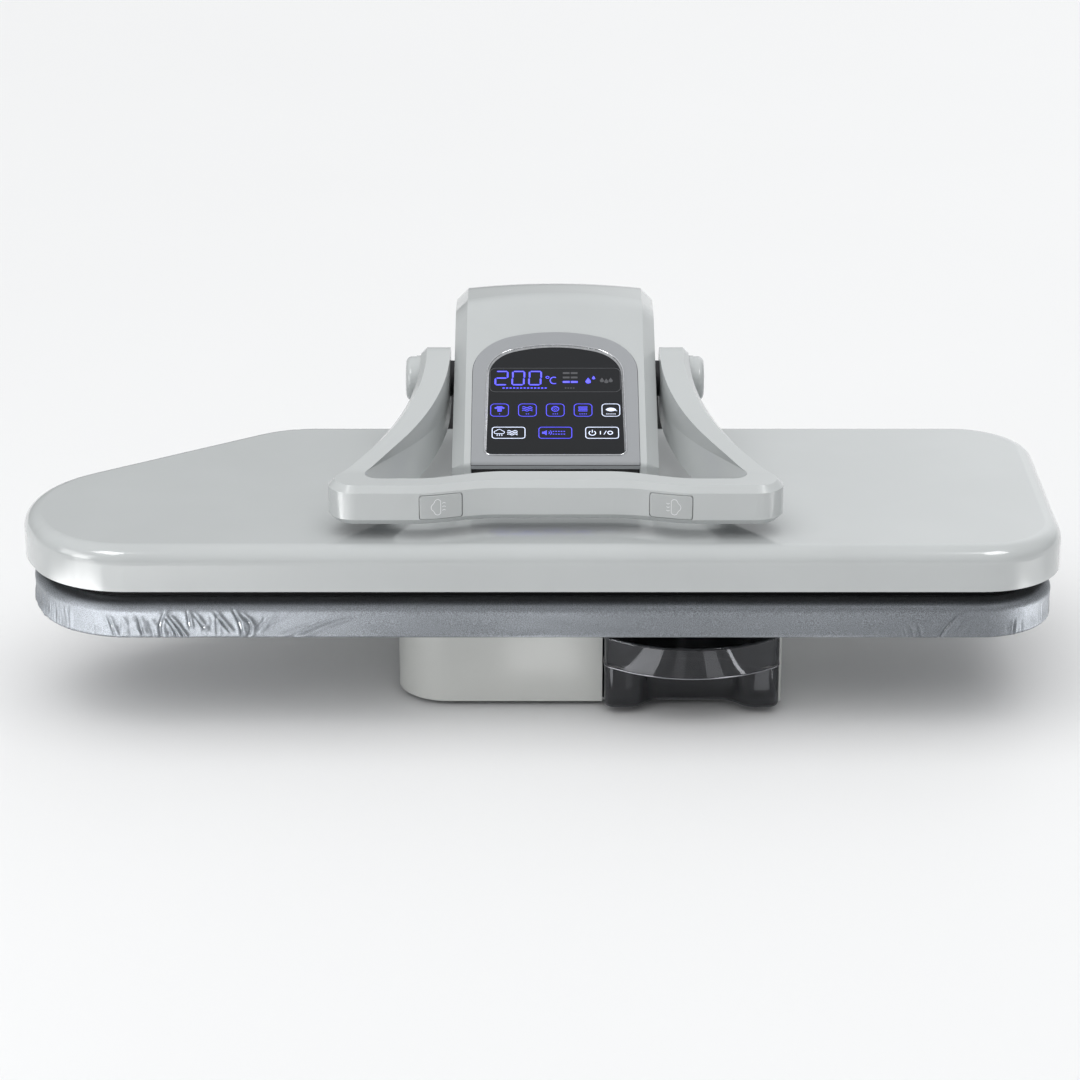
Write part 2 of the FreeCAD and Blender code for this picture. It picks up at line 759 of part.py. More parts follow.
def make_axle_clips():
    """Open snap rings in the grooves at the axle's ends."""
    clips = []
    for x in clip_places():
        ring = tube("clip_ring", (x, S.hinge_y, S.hinge_z), "X", S.axle_radius + 3,
                    S.axle_radius - CLIP_GROOVE + S.running_gap, CLIP_SHEET)
        opening = box("clip_opening", (x - 1, S.hinge_y - 3, S.hinge_z - S.axle_radius - 4),
                      (x + CLIP_SHEET + 1, S.hinge_y + 3, S.hinge_z))
        clips.append(cut("axle_clip", ring, [opening]))
    return node(group("axle_clips", clips), "axle_clips")


# Inside the base

def hose_path(points, bend):
    """Straight runs joined by tangent arcs."""
    edges = []
    last = points[0]
    for i in range(1, len(points) - 1):
        back = (points[i - 1] - points[i]).normalize()
        ahead = (points[i + 1] - points[i]).normalize()
        half = back.getAngle(ahead) / 2
        reach = bend / math.tan(half)
        bisector = (back + ahead).normalize()
        centre = points[i] + bisector * (bend / math.sin(half))
        start = points[i] + back * reach
        end = points[i] + ahead * reach
        edges.append(Part.LineSegment(last, start).toShape())
        edges.append(Part.Arc(start, centre - bisector * bend, end).toShape())
        last = end
    edges.append(Part.LineSegment(last, points[-1]).toShape())
    return Part.Wire(edges)


def pipe(path, radius):
    start = path.Edges[0]
    normal = start.tangentAt(start.FirstParameter)
    ring = Part.Circle(start.valueAt(start.FirstParameter), normal, number(radius))
    return path.makePipeShell([Part.Wire(ring.toShape())], True, False)


def hose(points, bend, radius, bore=0):
    path = hose_path(points, bend)
    solid = pipe(path, radius)
    print(f"hose: section times length {math.pi * radius ** 2 * path.Length:.1f}, volume {solid.Volume:.1f}")
    return solid.cut(pipe(path, bore)) if bore else solid


NIPPLE_RADIUS = 4.5
NIPPLE_Z = S.tank_bottom + 15
PUMP_X = S.base_left + 50
PUMP_Y = TOWER_FRONT - 10
HOSE_RADIUS = 4
HOSE_BORE = 2.6


def make_tank_dock():
    """Rear wall of the tank bay with the water inlet nipple."""
    roof = S.base_top - S.base_wall
    wall = box("dock_wall", (BAY_LEFT, BAY_REAR, FLOOR_TOP), (BAY_RIGHT, BAY_END, roof))
    inlet = rod("dock_inlet", (TANK_MIDDLE, BAY_REAR - 10, NIPPLE_Z), "Y", NIPPLE_RADIUS, 10)
    outlet = rod("dock_outlet", (TANK_MIDDLE, BAY_REAR + DOCK_SHEET, NIPPLE_Z), "Y", HOSE_BORE - 0.05, 10)
    collar = rod("dock_collar", (TANK_MIDDLE, BAY_REAR - 2, NIPPLE_Z), "Y", NIPPLE_RADIUS + 3, 2)
    bore = rod("dock_bore", (TANK_MIDDLE, BAY_REAR - 12, NIPPLE_Z), "Y", 1.6, 30)
    joined = fuse("dock_solid", [wall, inlet, outlet, collar])
    return node(cut("tank_dock", joined, [bore]), "tank_dock")


def make_pump():
    """Vibrating pump: coil block, barrel and two nipples, on a foot."""
    middle = FLOOR_TOP + 24
    foot = box("pump_foot", (PUMP_X - 22, PUMP_Y - 26, FLOOR_TOP), (PUMP_X + 22, PUMP_Y + 26, FLOOR_TOP + 4))
    block = box("pump_coil", (PUMP_X - 17, PUMP_Y - 20, FLOOR_TOP + 4),
                (PUMP_X + 17, PUMP_Y + 20, FLOOR_TOP + 44))
    barrel = rod("pump_barrel", (PUMP_X - 28, PUMP_Y, middle), "X", 12, 66)
    inlet = rod("pump_inlet", (PUMP_X + 38, PUMP_Y, middle), "X", HOSE_BORE - 0.05, 10)
    outlet = rod("pump_outlet", (PUMP_X, PUMP_Y, FLOOR_TOP + 44), "Z", HOSE_BORE - 0.05, 8)
    return node(fuse("pump", [foot, block, barrel, inlet, outlet]), "pump")


def make_pump_hose():
    """Silicone hose from the tank dock to the pump inlet."""
    middle = FLOOR_TOP + 24
    start_y = BAY_REAR + DOCK_SHEET
    turn_y = start_y + 44
    points = [
        vector(TANK_MIDDLE, start_y, NIPPLE_Z),
        vector(TANK_MIDDLE, turn_y, NIPPLE_Z),
        vector(S.arm_place, turn_y + 10, middle),
        vector(PUMP_X + 80, PUMP_Y, middle),
        vector(PUMP_X + 38, PUMP_Y, middle),
    ]
    solid = hose(points, 18, HOSE_RADIUS, HOSE_BORE)
    return node(feature("pump_hose", solid), "pump_hose")


def make_power_board():
    """Circuit board on four pillars with its relay, transformer and capacitors."""
    left, front = S.base_left + 16, S.base_front + 62
    right, rear = left + 96, front + 96
    top = FLOOR_TOP + 8
    pieces = [box("power_card", (left, front, top), (right, rear, top + S.board_thickness))]
    for x, y in corners_of(left + 6, right - 6, front + 6, rear - 6):
        pieces.append(rod("card_pillar", (x, y, FLOOR_TOP), "Z", 3, 8))
    deck = top + S.board_thickness
    pieces.append(box("transformer", (left + 14, front + 16, deck), (left + 46, front + 44, deck + 24)))
    pieces.append(box("relay", (left + 58, front + 18, deck), (left + 78, front + 34, deck + 16)))
    pieces.append(box("terminal_strip", (left + 12, rear - 18, deck), (right - 12, rear - 8, deck + 11)))
    for x in (left + 60, left + 76):
        pieces.append(rod("capacitor", (x, front + 54, deck), "Z", 6, 18))
    return node(fuse("power_board", pieces), "power_board")


def make_cord_gland():
    """Cable entry bush in the rear wall, with its bore open for a mains lead."""
    inside = rod("gland_inside", (GLAND_X, S.base_rear - 10, GLAND_Z), "Y", GLAND_BODY, 10)
    flange = rod("gland_flange", (GLAND_X, S.base_rear, GLAND_Z), "Y", GLAND_FLANGE, GLAND_PROUD)
    nut = rod("gland_nut", (GLAND_X, S.base_rear - S.base_wall - 4, GLAND_Z), "Y", GLAND_FLANGE, 4)
    bore = rod("gland_bore", (GLAND_X, S.base_rear - 11, GLAND_Z), "Y", GLAND_BORE, 16)
    return node(cut("cord_gland", fuse("gland_solid", [inside, flange, nut]), [bore]), "cord_gland")


# Board

TRAY_INSET = S.board_inset + S.cover_cloth + 0.6


def make_board_tray():
    """Pressed steel tray with an upturned rim."""
    body = new_body("board_tray_body")
    pad(body, press_outline(body, "tray_outline", TRAY_BOTTOM, TRAY_INSET), S.tray_rim)
    inner = press_outline(body, "tray_inside", TRAY_BOTTOM + S.tray_sheet, TRAY_INSET + S.tray_sheet)
    pocket(body, inner, S.tray_rim - S.tray_sheet, reverse=True)
    round_edges(body, 1.2, lambda edge: at_height(edge, TRAY_BOTTOM))
    for x, y in POST_PLACES:
        hole = circle(body, "tray_hole", "XY_Plane", TRAY_BOTTOM, POST_SCREW + 0.1, at=(x, y))
        pocket(body, hole, S.tray_sheet, reverse=True)
    return node(body, "board_tray")


def make_board_pad():
    """Foam pad in the tray: flat where the plate presses it, drawn in round the rim."""
    bottom = TRAY_BOTTOM + S.tray_sheet
    top = S.board_top - S.cover_cloth - 0.2
    inset = TRAY_INSET + S.tray_sheet + 0.3
    return node(press_block("board_pad_body", bottom, top, inset, S.board_roll - 2), "board_pad")


def make_board_cover():
    """Cloth cover drawn over pad and tray, with its hem turned under the tray."""
    outer = press_block("cover_outer", S.board_bottom, S.board_top, S.board_inset, S.board_roll)
    round_edges(outer, 1.4, lambda edge: at_height(edge, S.board_bottom))
    inner = press_block("cover_inner", S.board_bottom + S.cover_cloth, S.board_top - S.cover_cloth,
                        S.board_inset + S.cover_cloth, S.board_roll - S.cover_cloth)
    mouth = new_body("cover_mouth")
    mouth_inset = S.board_inset + S.hem_width
    pad(mouth, press_outline(mouth, "cover_opening", S.board_bottom - 1, mouth_inset), S.cover_cloth + 2)
    return node(cut("board_cover", outer, [inner, mouth]), "board_cover")


# Water tank

def tank_lower(body, name, height, inset):
    """The lower tank from above: two lobes at the front with a finger scoop between them."""
    left = S.tank_left + inset
    right = TANK_RIGHT - inset
    front = S.tank_front + inset
    rear = S.tank_rear - inset
    scoop = S.tank_front + S.tank_scoop + inset
    lobe = S.tank_lobe - inset
    run = 14
    corners = [
        (left, front, 8 - inset),
        (left + lobe, front, 20 - inset),
        (left + lobe + run, scoop, 20),
        (right - lobe - run, scoop, 20),
        (right - lobe, front, 20 - inset),
        (right, front, 8 - inset),
        (right, rear, 6 - inset),
        (left, rear, 6 - inset),
    ]
    return outline(body, name, "XY_Plane", height, corners)


def tank_upper(body, name, height, inset):
    """The tank lid from above: its front bows forward between the corners."""
    left = S.tank_left + inset
    right = TANK_RIGHT - inset
    front = S.tank_front + inset
    rear = S.tank_rear - inset
    corners = [
        (left, front, 10 - inset),
        (TANK_MIDDLE, front - S.tank_bulge * 1.9, 100 - inset),
        (right, front, 10 - inset),
        (right, rear, 6 - inset),
        (left, rear, 6 - inset),
    ]
    return outline(body, name, "XY_Plane", height, corners)


SEAL_HEIGHT = 1.2
LID_BOTTOM = S.tank_line + SEAL_HEIGHT
CAP_Y = S.tank_front + 12
WELL_FLOOR = S.tank_top - 7
WELL_BOTTOM = S.tank_top - 10
CAP_NECK = 16
VALVE_RADIUS = 9


def make_tank_body():
    body = new_body("tank_body_body")
    pad(body, tank_lower(body, "tank_outline", S.tank_bottom, 0), S.tank_line - S.tank_bottom)
    round_edges(body, 3, lambda edge: at_height(edge, S.tank_bottom))
    inner = tank_lower(body, "tank_inside", S.tank_bottom + S.tank_wall, S.tank_wall)
    pocket(body, inner, S.tank_line - S.tank_bottom, reverse=True)
    outlet = circle(body, "tank_outlet", "XZ_Plane", -S.tank_rear - 1, VALVE_RADIUS - 2,
                    at=(TANK_MIDDLE, NIPPLE_Z))
    pocket(body, outlet, S.tank_wall + 2, reverse=True)
    return node(body, "tank_body")


def make_tank_lid():
    body = new_body("tank_lid_body")
    pad(body, tank_upper(body, "lid_outline", LID_BOTTOM, 0), S.tank_top - LID_BOTTOM)
    round_edges(body, 2.5, lambda edge: at_height(edge, S.tank_top))
    under = S.tank_top - S.tank_wall
    pocket(body, tank_upper(body, "lid_inside", under, S.tank_wall), under - LID_BOTTOM - S.tank_wall)
    pocket(body, tank_lower(body, "lid_opening", LID_BOTTOM, S.tank_wall), S.tank_wall + 1, reverse=True)
    cap_at = (TANK_MIDDLE, CAP_Y)
    pad(body, circle(body, "cap_well", "XY_Plane", WELL_BOTTOM, S.cap_radius + 2.4, at=cap_at),
        S.tank_top - WELL_BOTTOM)
    pocket(body, circle(body, "cap_seat", "XY_Plane", S.tank_top, S.cap_radius + 0.4, at=cap_at),
           S.tank_top - WELL_FLOOR)
    pocket(body, circle(body, "cap_neck", "XY_Plane", S.tank_top, CAP_NECK + 0.4, at=cap_at),
           S.tank_top - WELL_BOTTOM + 1)
    return node(body, "tank_lid")


def make_tank_seal():
    """Silicone gasket between tank and lid."""
    body = new_body("tank_seal_body")
    pad(body, tank_lower(body, "seal_outline", S.tank_line, 0.2), SEAL_HEIGHT)
    inside = tank_lower(body, "seal_inside", S.tank_line, S.tank_wall - 0.2)
    pocket(body, inside, SEAL_HEIGHT + 1, reverse=True)
    return node(body, "tank_seal")


def make_tank_valve():
    """Spring valve on the tank's rear wall, opened by the dock nipple."""
    barrel = rod("valve_barrel", (TANK_MIDDLE, S.tank_rear, NIPPLE_Z), "Y", VALVE_RADIUS, S.dock_gap - 3)
    neck = rod("valve_neck", (TANK_MIDDLE, S.tank_rear - S.tank_wall - 4, NIPPLE_Z), "Y",
               VALVE_RADIUS - 2.05, S.tank_wall + 4)
    bore = rod("valve_bore", (TANK_MIDDLE, S.tank_rear - S.tank_wall + 1, NIPPLE_Z), "Y",
               NIPPLE_RADIUS + 0.5, 20)
    throat = rod("valve_throat", (TANK_MIDDLE, S.tank_rear - 10, NIPPLE_Z), "Y", 2, 12)
    return node(cut("tank_valve", fuse("valve_solid", [barrel, neck]), [bore, throat]), "tank_valve")


def make_scale_filter():
    """Cartridge on the valve inside the tank."""
    start = S.tank_rear - S.tank_wall - 46
    shell = rod("filter_shell", (TANK_MIDDLE, start, NIPPLE_Z), "Y", 12, 46)
    bore = rod("filter_bore", (TANK_MIDDLE, start + 3, NIPPLE_Z), "Y", 10, 60)
    slots = []
    for i in range(4):
        y = start + 8 + 9 * i
        slots.append(box("filter_slot", (TANK_MIDDLE - 14, y, NIPPLE_Z - 6),
                         (TANK_MIDDLE + 14, y + 4, NIPPLE_Z + 6)))
    return node(cut("scale_filter", shell, [bore] + slots), "scale_filter")


def make_tank_cap():
    """Quarter turn filler cap with a finger bar across its dished top."""
    at = (TANK_MIDDLE, CAP_Y)
    disc = rod("cap_disc", (*at, WELL_FLOOR + 0.2), "Z", S.cap_radius, S.tank_top - WELL_FLOOR - 0.2)
    skirt = rod("cap_skirt", (*at, WELL_BOTTOM - 3), "Z", CAP_NECK, WELL_FLOOR - WELL_BOTTOM + 4)
    dish = rod("cap_dish", (*at, S.tank_top - 4.5), "Z", S.cap_radius - 2.5, 6)
    hollow = rod("cap_hollow", (*at, WELL_BOTTOM - 4), "Z", CAP_NECK - 1.8, 5.5)
    shell = cut("cap_shell", fuse("cap_solid", [disc, skirt]), [dish, hollow])
    bar = box("cap_bar", (at[0] - S.cap_radius + 3, CAP_Y - 1.6, S.tank_top - 5),
              (at[0] + S.cap_radius - 3, CAP_Y + 1.6, S.tank_top - 0.5))
    return node(fuse("tank_cap", [shell, bar]), "tank_cap")


# Head

STUD_RADIUS = 4
STUDS_ON_FOOT = corners_of(S.arm_place - 45, S.arm_place + 45, -135, 15)
STUDS_ON_COVER = corners_of(-240, 280, -135, 15)
SHIELD_SCREWS = [(-300, -199.5), (-100, -199.5), (120, -199.5), (320, -199.5)]
SHIELD_SCREWS += [(-160, 79.5), (-75, 79.5), (100, 79.5), (320, 79.5)]
SHIELD_BOX_INSET = 17
SHIELD_TOP = RIM_BOTTOM + S.shield_rise
SKIRT_BOTTOM = PLATE_BOTTOM + 2
FOOT_SHEET = 3
FOOT_BOTTOM = COVER_UNDERSIDE - FOOT_SHEET
FRAME_SLOT_HALF = 60
FRAME_SCREWS = corners_of(S.arm_place - 40, S.arm_place + 40, -45, 50)
CHAMBER_TOP = PLATE_TOP + 11
HOSE_X = S.arm_place + 30
HOSE_DROP_Y = 70
CHAMBER_INLET_Y = -30


def make_head_cover():
    """White upper shell of the head with a rolled edge, slots for the arm frame and screw posts."""
    outer = press_block("cover_shell", RIM_BOTTOM, S.head_top, 0, S.head_roll)
    inner = press_block("cover_hollow", RIM_BOTTOM - 1, COVER_UNDERSIDE, S.head_wall,
                        S.head_roll - S.head_wall)
    flange_top = RIM_BOTTOM + S.shield_sheet
    posts = [tube("shield_post", (x, y, flange_top), "Z", 4, S.screw_radius + S.running_gap,
                  S.head_top - 4 - flange_top) for x, y in SHIELD_SCREWS]
    tools = [inner]
    for side in (-1, 1):
        middle = S.arm_place + side * (S.frame_half + S.frame_sheet / 2)
        half = S.frame_sheet / 2 + 0.3
        tools.append(box("frame_slot", (middle - half, -FRAME_SLOT_HALF - 0.3, COVER_UNDERSIDE - 1),
                         (middle + half, FRAME_SLOT_HALF + 0.3, S.head_top + 1)))
    for x, y in FRAME_SCREWS:
        tools.append(rod("frame_screw_hole", (x, y, COVER_UNDERSIDE - 1), "Z", BRACKET_SCREW + 0.1, 6))
    tools.append(rod("hose_hole", (HOSE_X, HOSE_DROP_Y, COVER_UNDERSIDE - 1), "Z", HOSE_RADIUS + 0.6, 6))
    shell = cut("cover_skin", outer, tools)
    return node(fuse("head_cover", [shell] + posts), "head_cover")


def make_heat_shield():
    """Dark inverted pan between cover and plate: flange under the rim, box above, skirt round the plate."""
    body = press_block("shield_body", SKIRT_BOTTOM, SHIELD_TOP, SHIELD_BOX_INSET)
    pad(body, press_outline(body, "shield_flange", RIM_BOTTOM, S.shield_inset), S.shield_sheet)
    inside = press_outline(body, "shield_inside", SHIELD_TOP - S.shield_sheet,
                           SHIELD_BOX_INSET + S.shield_sheet)
    pocket(body, inside, SHIELD_TOP - S.shield_sheet - SKIRT_BOTTOM)
    tools = [rod("shield_hole", (x, y, RIM_BOTTOM - 1), "Z", S.screw_radius + 0.2, 4)
             for x, y in SHIELD_SCREWS]
    for x, y in STUDS_ON_FOOT + STUDS_ON_COVER:
        tools.append(rod("stud_hole", (x, y, SHIELD_TOP - 4), "Z", STUD_RADIUS + 0.4, 6))
    tools.append(rod("water_hole", (HOSE_X, CHAMBER_INLET_Y, SHIELD_TOP - 4), "Z", HOSE_RADIUS + 0.6, 6))
    return node(cut("heat_shield", body, tools), "heat_shield")


def make_shield_screws():
    screws = [screw("shield_screw", (x, y, RIM_BOTTOM), 1, 3, 1.2, S.screw_radius, 14)
              for x, y in SHIELD_SCREWS]
    return node(group("shield_screws", screws), "shield_screws")


def make_heating_plate():
    """Cast aluminium plate with steam holes in its working face."""
    body = new_body("plate_body")
    pad(body, press_outline(body, "plate_outline", PLATE_BOTTOM, S.plate_inset), S.plate_thickness)
    round_edges(body, 1.5, lambda edge: at_height(edge, PLATE_BOTTOM))
    step = S.steam_hole_step * 2
    first = circle(body, "steam_hole", "XY_Plane", PLATE_BOTTOM, S.steam_hole_radius,
                   at=(S.arm_place - step * 3.5, -135))
    hole = pocket(body, first, S.plate_thickness, reverse=True)
    grid = body.newObject("PartDesign::MultiTransform", "steam_holes")
    grid.Originals = [hole]
    across = pattern_step(body, first, "H_Axis", step, 8)
    back = pattern_step(body, first, "V_Axis", S.steam_hole_step * 1.5, 4)
    grid.Transformations = [across, back]
    body.Tip = grid
    doc.recompute()
    return node(body, "heating_plate")


def pattern_step(body, sketch, direction, spacing, count):
    pattern = body.newObject("PartDesign::LinearPattern", sketch.Name + "_step")
    pattern.Direction = (sketch, [direction])
    pattern.Occurrences = count
    drive(pattern, "Length", spacing * (count - 1))
    return pattern


def make_heating_element():
    """Sheathed element in one U-shaped run on the plate, with a terminal pin at each end."""
    level = PLATE_TOP + 4
    corners = [(330, 40), (-195, 40), (-345, -90), (-320, -160), (330, -160)]
    run = hose([vector(x, y, level) for x, y in corners], 30, 4)
    pins = [Part.makeCylinder(1.5, 14, vector(329, y, level), vector(1, 0, 0)) for y in (40, -160)]
    return node(feature("heating_element", run.fuse(pins).removeSplitter()), "heating_element")


def make_steam_chamber():
    """Flash steam chamber bolted on the plate, fed by the water hose."""
    block = box("chamber_block", (S.arm_place - 70, -110, PLATE_TOP), (S.arm_place + 70, -10, CHAMBER_TOP))
    lid = box("chamber_lid", (S.arm_place - 60, -100, CHAMBER_TOP), (S.arm_place + 60, -20, CHAMBER_TOP + 2))
    inlet = rod("chamber_inlet", (HOSE_X, CHAMBER_INLET_Y, CHAMBER_TOP + 2), "Z", HOSE_BORE - 0.05, 8)
    return node(fuse("steam_chamber", [block, lid, inlet]), "steam_chamber")


def make_thermostat():
    disc = rod("thermostat_disc", (S.arm_place + 140, -60, PLATE_TOP), "Z", 12, 7)
    cap = rod("thermostat_cap", (S.arm_place + 140, -60, PLATE_TOP + 7), "Z", 8, 4)
    tab = box("thermostat_tab", (S.arm_place + 120, -63, PLATE_TOP + 5),
              (S.arm_place + 160, -57, PLATE_TOP + 6))
    return node(fuse("thermostat", [disc, cap, tab]), "thermostat")


def make_plate_studs():
    """Studs that hang the plate from the arm's foot plate and from the cover."""
    studs = [rod("plate_stud", (x, y, PLATE_TOP), "Z", STUD_RADIUS, FOOT_BOTTOM - PLATE_TOP)
             for x, y in STUDS_ON_FOOT]
    studs += [rod("plate_stud", (x, y, PLATE_TOP), "Z", STUD_RADIUS, COVER_UNDERSIDE - PLATE_TOP)
              for x, y in STUDS_ON_COVER]
    return node(group("plate_studs", studs), "plate_studs")


CROSS_Z = 185


def make_water_hose():
    """Hose from the arm's cross piece down through the cover to the steam chamber."""
    level = SHIELD_TOP + 7
    points = [
        vector(HOSE_X, HOSE_DROP_Y, CROSS_Z),
        vector(HOSE_X, HOSE_DROP_Y, level),
        vector(HOSE_X, CHAMBER_INLET_Y, level),
        vector(HOSE_X, CHAMBER_INLET_Y, CHAMBER_TOP + 2),
    ]
    return node(feature("water_hose", hose(points, 6, HOSE_RADIUS, HOSE_BORE)), "water_hose")


# Arm

def make_arm_frame():
    """Steel frame: foot plate under the cover, two side plates up through it, and cross pieces."""
    body = new_body("frame_body")
    hinge_ring = 28
    side = [
        (-FRAME_SLOT_HALF, FOOT_BOTTOM + 1),
        (FRAME_SLOT_HALF, FOOT_BOTTOM + 1),
        (FRAME_SLOT_HALF, S.head_top + 3),
        (100, S.head_top + 3),
        (100, S.hinge_z + 22),
        (S.hinge_y - hinge_ring, S.hinge_z + 12),
        (S.hinge_y - hinge_ring, S.hinge_z - hinge_ring, 27.5),
        (S.hinge_y + hinge_ring, S.hinge_z - hinge_ring, 27.5),
        (S.hinge_y + hinge_ring, S.pivot_z - 12, 20),
        (S.pivot_y + 20, S.pivot_z + 22, 16),
        (S.pivot_y - 16, S.pivot_z + 10, 14),
        (-FRAME_SLOT_HALF, S.head_top + 2),
    ]
    width = (S.frame_half + S.frame_sheet) * 2
    pad(body, outline(body, "frame_side", "YZ_Plane", S.arm_place, side), width, both_ways=True)
    gap = rectangle(-FRAME_SLOT_HALF - 1, S.hinge_z - 40, S.hinge_y + 40, S.pivot_z + 40)
    pocket(body, outline(body, "frame_gap", "YZ_Plane", S.arm_place, gap), S.frame_half * 2, both_ways=True)
    foot = rectangle(S.arm_place - 75, -155, S.arm_place + 75, 76, 6)
    pad(body, outline(body, "frame_foot", "XY_Plane", FOOT_BOTTOM, foot), FOOT_SHEET)
    rear_cross = rectangle(HOSE_DROP_Y - 12, CROSS_Z, HOSE_DROP_Y + 12, CROSS_Z + 3)
    width = S.frame_half * 2
    pad(body, outline(body, "rear_cross", "YZ_Plane", S.arm_place, rear_cross), width, both_ways=True)
    front_cross = rectangle(-FRAME_SLOT_HALF + 6, S.head_top + 2, -FRAME_SLOT_HALF + 9, S.head_top + 8)
    pad(body, outline(body, "front_cross", "YZ_Plane", S.arm_place, front_cross), width, both_ways=True)
    leg = S.hinge_y + SPRING_RADIUS + SPRING_WIRE
    spring_cross = rectangle(leg, S.hinge_z + 10, leg + 3, S.hinge_z + 28)
    pad(body, outline(body, "spring_cross", "YZ_Plane", S.arm_place, spring_cross), S.frame_half * 2,
        both_ways=True)
    holes = (("frame_hinge", S.hinge_y, S.hinge_z, BUSH_RADIUS),
             ("frame_pivot", S.pivot_y, S.pivot_z, S.shaft_radius + S.running_gap))
    for name, y, z, radius in holes:
        hole = circle(body, name, "YZ_Plane", S.arm_place, radius, at=(y, z))
        pocket(body, hole, width + 10, both_ways=True)
    holes = [(x, y, BRACKET_SCREW + 0.1) for x, y in FRAME_SCREWS]
    holes.append((HOSE_X, HOSE_DROP_Y, HOSE_RADIUS + 0.6))
    for x, y, radius in holes:
        hole = circle(body, "foot_hole", "XY_Plane", FOOT_BOTTOM, radius, at=(x, y))
        pocket(body, hole, FOOT_SHEET, reverse=True)
    nipple = circle(body, "hose_nipple", "XY_Plane", CROSS_Z, HOSE_BORE - 0.05, at=(HOSE_X, HOSE_DROP_Y))
    pad(body, nipple, 8, reverse=True)
    return node(body, "arm_frame")


BUSH_RADIUS = 12
BUSH_LENGTH = 14


def make_hinge_bushes():
    """Plain bearings pressed in the side plates."""
    bushes = []
    for start in (S.arm_place - S.frame_half - BUSH_LENGTH + 4, S.arm_place + S.frame_half - 4):
        bushes.append(tube("hinge_bush", (start, S.hinge_y, S.hinge_z), "X", BUSH_RADIUS,
                           S.axle_radius + S.running_gap, BUSH_LENGTH))
    return node(group("hinge_bushes", bushes), "hinge_bushes")


def make_frame_screws():
    """Screws that hold cover and foot plate together, their heads inside the column."""
    screws = [screw("frame_screw", (x, y, S.head_top), -1, 4.5, 2.5, BRACKET_SCREW, 10)
              for x, y in FRAME_SCREWS]
    return node(group("frame_screws", screws), "frame_screws")


def rounded_profile(x, corners):
    """A closed wire in the plane X = x from (y, z, radius) corners."""
    points = [FreeCAD.Vector(x, y, z) for y, z, _ in corners]
    count = len(points)
    enter, leave, arcs = [], [], []
    for i, (_, _, radius) in enumerate(corners):
        if radius == 0:
            enter.append(points[i])
            leave.append(points[i])
            arcs.append(None)
            continue
        back = (points[i - 1] - points[i]).normalize()
        ahead = (points[(i + 1) % count] - points[i]).normalize()
        half = back.getAngle(ahead) / 2
        bisector = (back + ahead).normalize()
        centre = points[i] + bisector * (radius / math.sin(half))
        enter.append(points[i] + back * (radius / math.tan(half)))
        leave.append(points[i] + ahead * (radius / math.tan(half)))
        arcs.append(Part.Arc(enter[i], centre - bisector * radius, leave[i]).toShape())
    edges = []
    for i in range(count):
        if arcs[i]:
            edges.append(arcs[i])
        ahead = enter[(i + 1) % count]
        if leave[i].distanceToPoint(ahead) > 1e-6:
            edges.append(Part.LineSegment(leave[i], ahead).toShape())
    return Part.Wire(edges)


def column_profile(x, inset, drop, bottom):
    """Side profile of the column: sloping face, rounded top and rear, and the barrel on the hinge."""
    front = number(S.column_front) + inset
    rear = number(S.column_rear) - inset
    top = number(S.column_top) - drop - inset
    face_y, face_z = number(S.face_start_y), number(S.face_start_z)
    lowered = inset / math.cos(SLOPE)
    front_z = face_z + (front - face_y) * math.tan(SLOPE) - lowered
    crest_y = face_y + (top - face_z + lowered) / math.tan(SLOPE)
    hinge_y, hinge_z = number(S.hinge_y), number(S.hinge_z)
    barrel = number(S.barrel_radius) - inset
    neck = hinge_y - barrel
    heel = 92.5 + inset
    return rounded_profile(x, [
        (front, bottom, 0),
        (front, front_z, max(0.5, 4 - inset)),
        (crest_y, top, number(S.roll_front) - inset),
        (rear, top, number(S.roll_rear) - inset),
        (rear, hinge_z - barrel, barrel * 0.999),
        (neck, hinge_z - barrel, barrel * 0.999),
        (neck, hinge_z + 8, 0),
        (heel, hinge_z + 18, 0),
        (heel, bottom, 0),
    ])


def column_solid(inset, straight, end, chamfer, bottom):
    """Five sections make the crowned middle, and a straight run at each end makes the chamfer."""
    middle = number(S.arm_place)
    crown = number(S.column_crown)

    def section(x, k, drop):
        return column_profile(middle + x, k, drop, bottom)

    places = [-straight, -straight / 2, 0, straight / 2, straight]
    sections = [section(x, inset, crown * (x / straight) ** 2) for x in places]
    body = Part.makeLoft(sections, True, False)
    ends = []
    for side in (-1, 1):
        pair = [section(side * straight, inset, crown), section(side * end, inset + chamfer, crown)]
        ends.append(Part.makeLoft(pair, True, True))
    return body.fuse(ends)


def face_frame():
    """Placement of the sloping face: x along X, y up the slope, z out of the face."""
    turn = FreeCAD.Rotation(FreeCAD.Vector(1, 0, 0), number(S.face_slope))
    return FreeCAD.Placement(vector(S.arm_place, S.face_start_y, S.face_start_z), turn)


def flat_wire(corners):
    """A closed wire in the XY plane from (x, y, radius) corners."""
    wire = rounded_profile(0, [(number(x), number(y), number(radius)) for x, y, radius in corners])
    turn = FreeCAD.Matrix(0, 1, 0, 0, 0, 0, 1, 0, 1, 0, 0, 0)
    return wire.transformGeometry(turn)


def bezel_corners(inset):
    half = S.bezel_half - inset
    return [
        (-half, inset, 0),
        (half, inset, 0),
        (half, S.bezel_shoulder - inset, 45 - inset),
        (0, S.bezel_apex - inset, 120 - inset),
        (-half, S.bezel_shoulder - inset, 45 - inset),
    ]


def lens_corners(inset):
    half = S.lens_half - inset
    return [
        (-half, S.lens_bottom + inset, 7 - inset),
        (half, S.lens_bottom + inset, 7 - inset),
        (half - 1.7, S.lens_shoulder - inset, 32 - inset),
        (0, S.lens_apex - inset, 110 - inset),
        (1.7 - half, S.lens_shoulder - inset, 32 - inset),
    ]


REAR_WINDOW_HALF = 52
REAR_WINDOW_LOW = 150
REAR_WINDOW_HIGH = 205


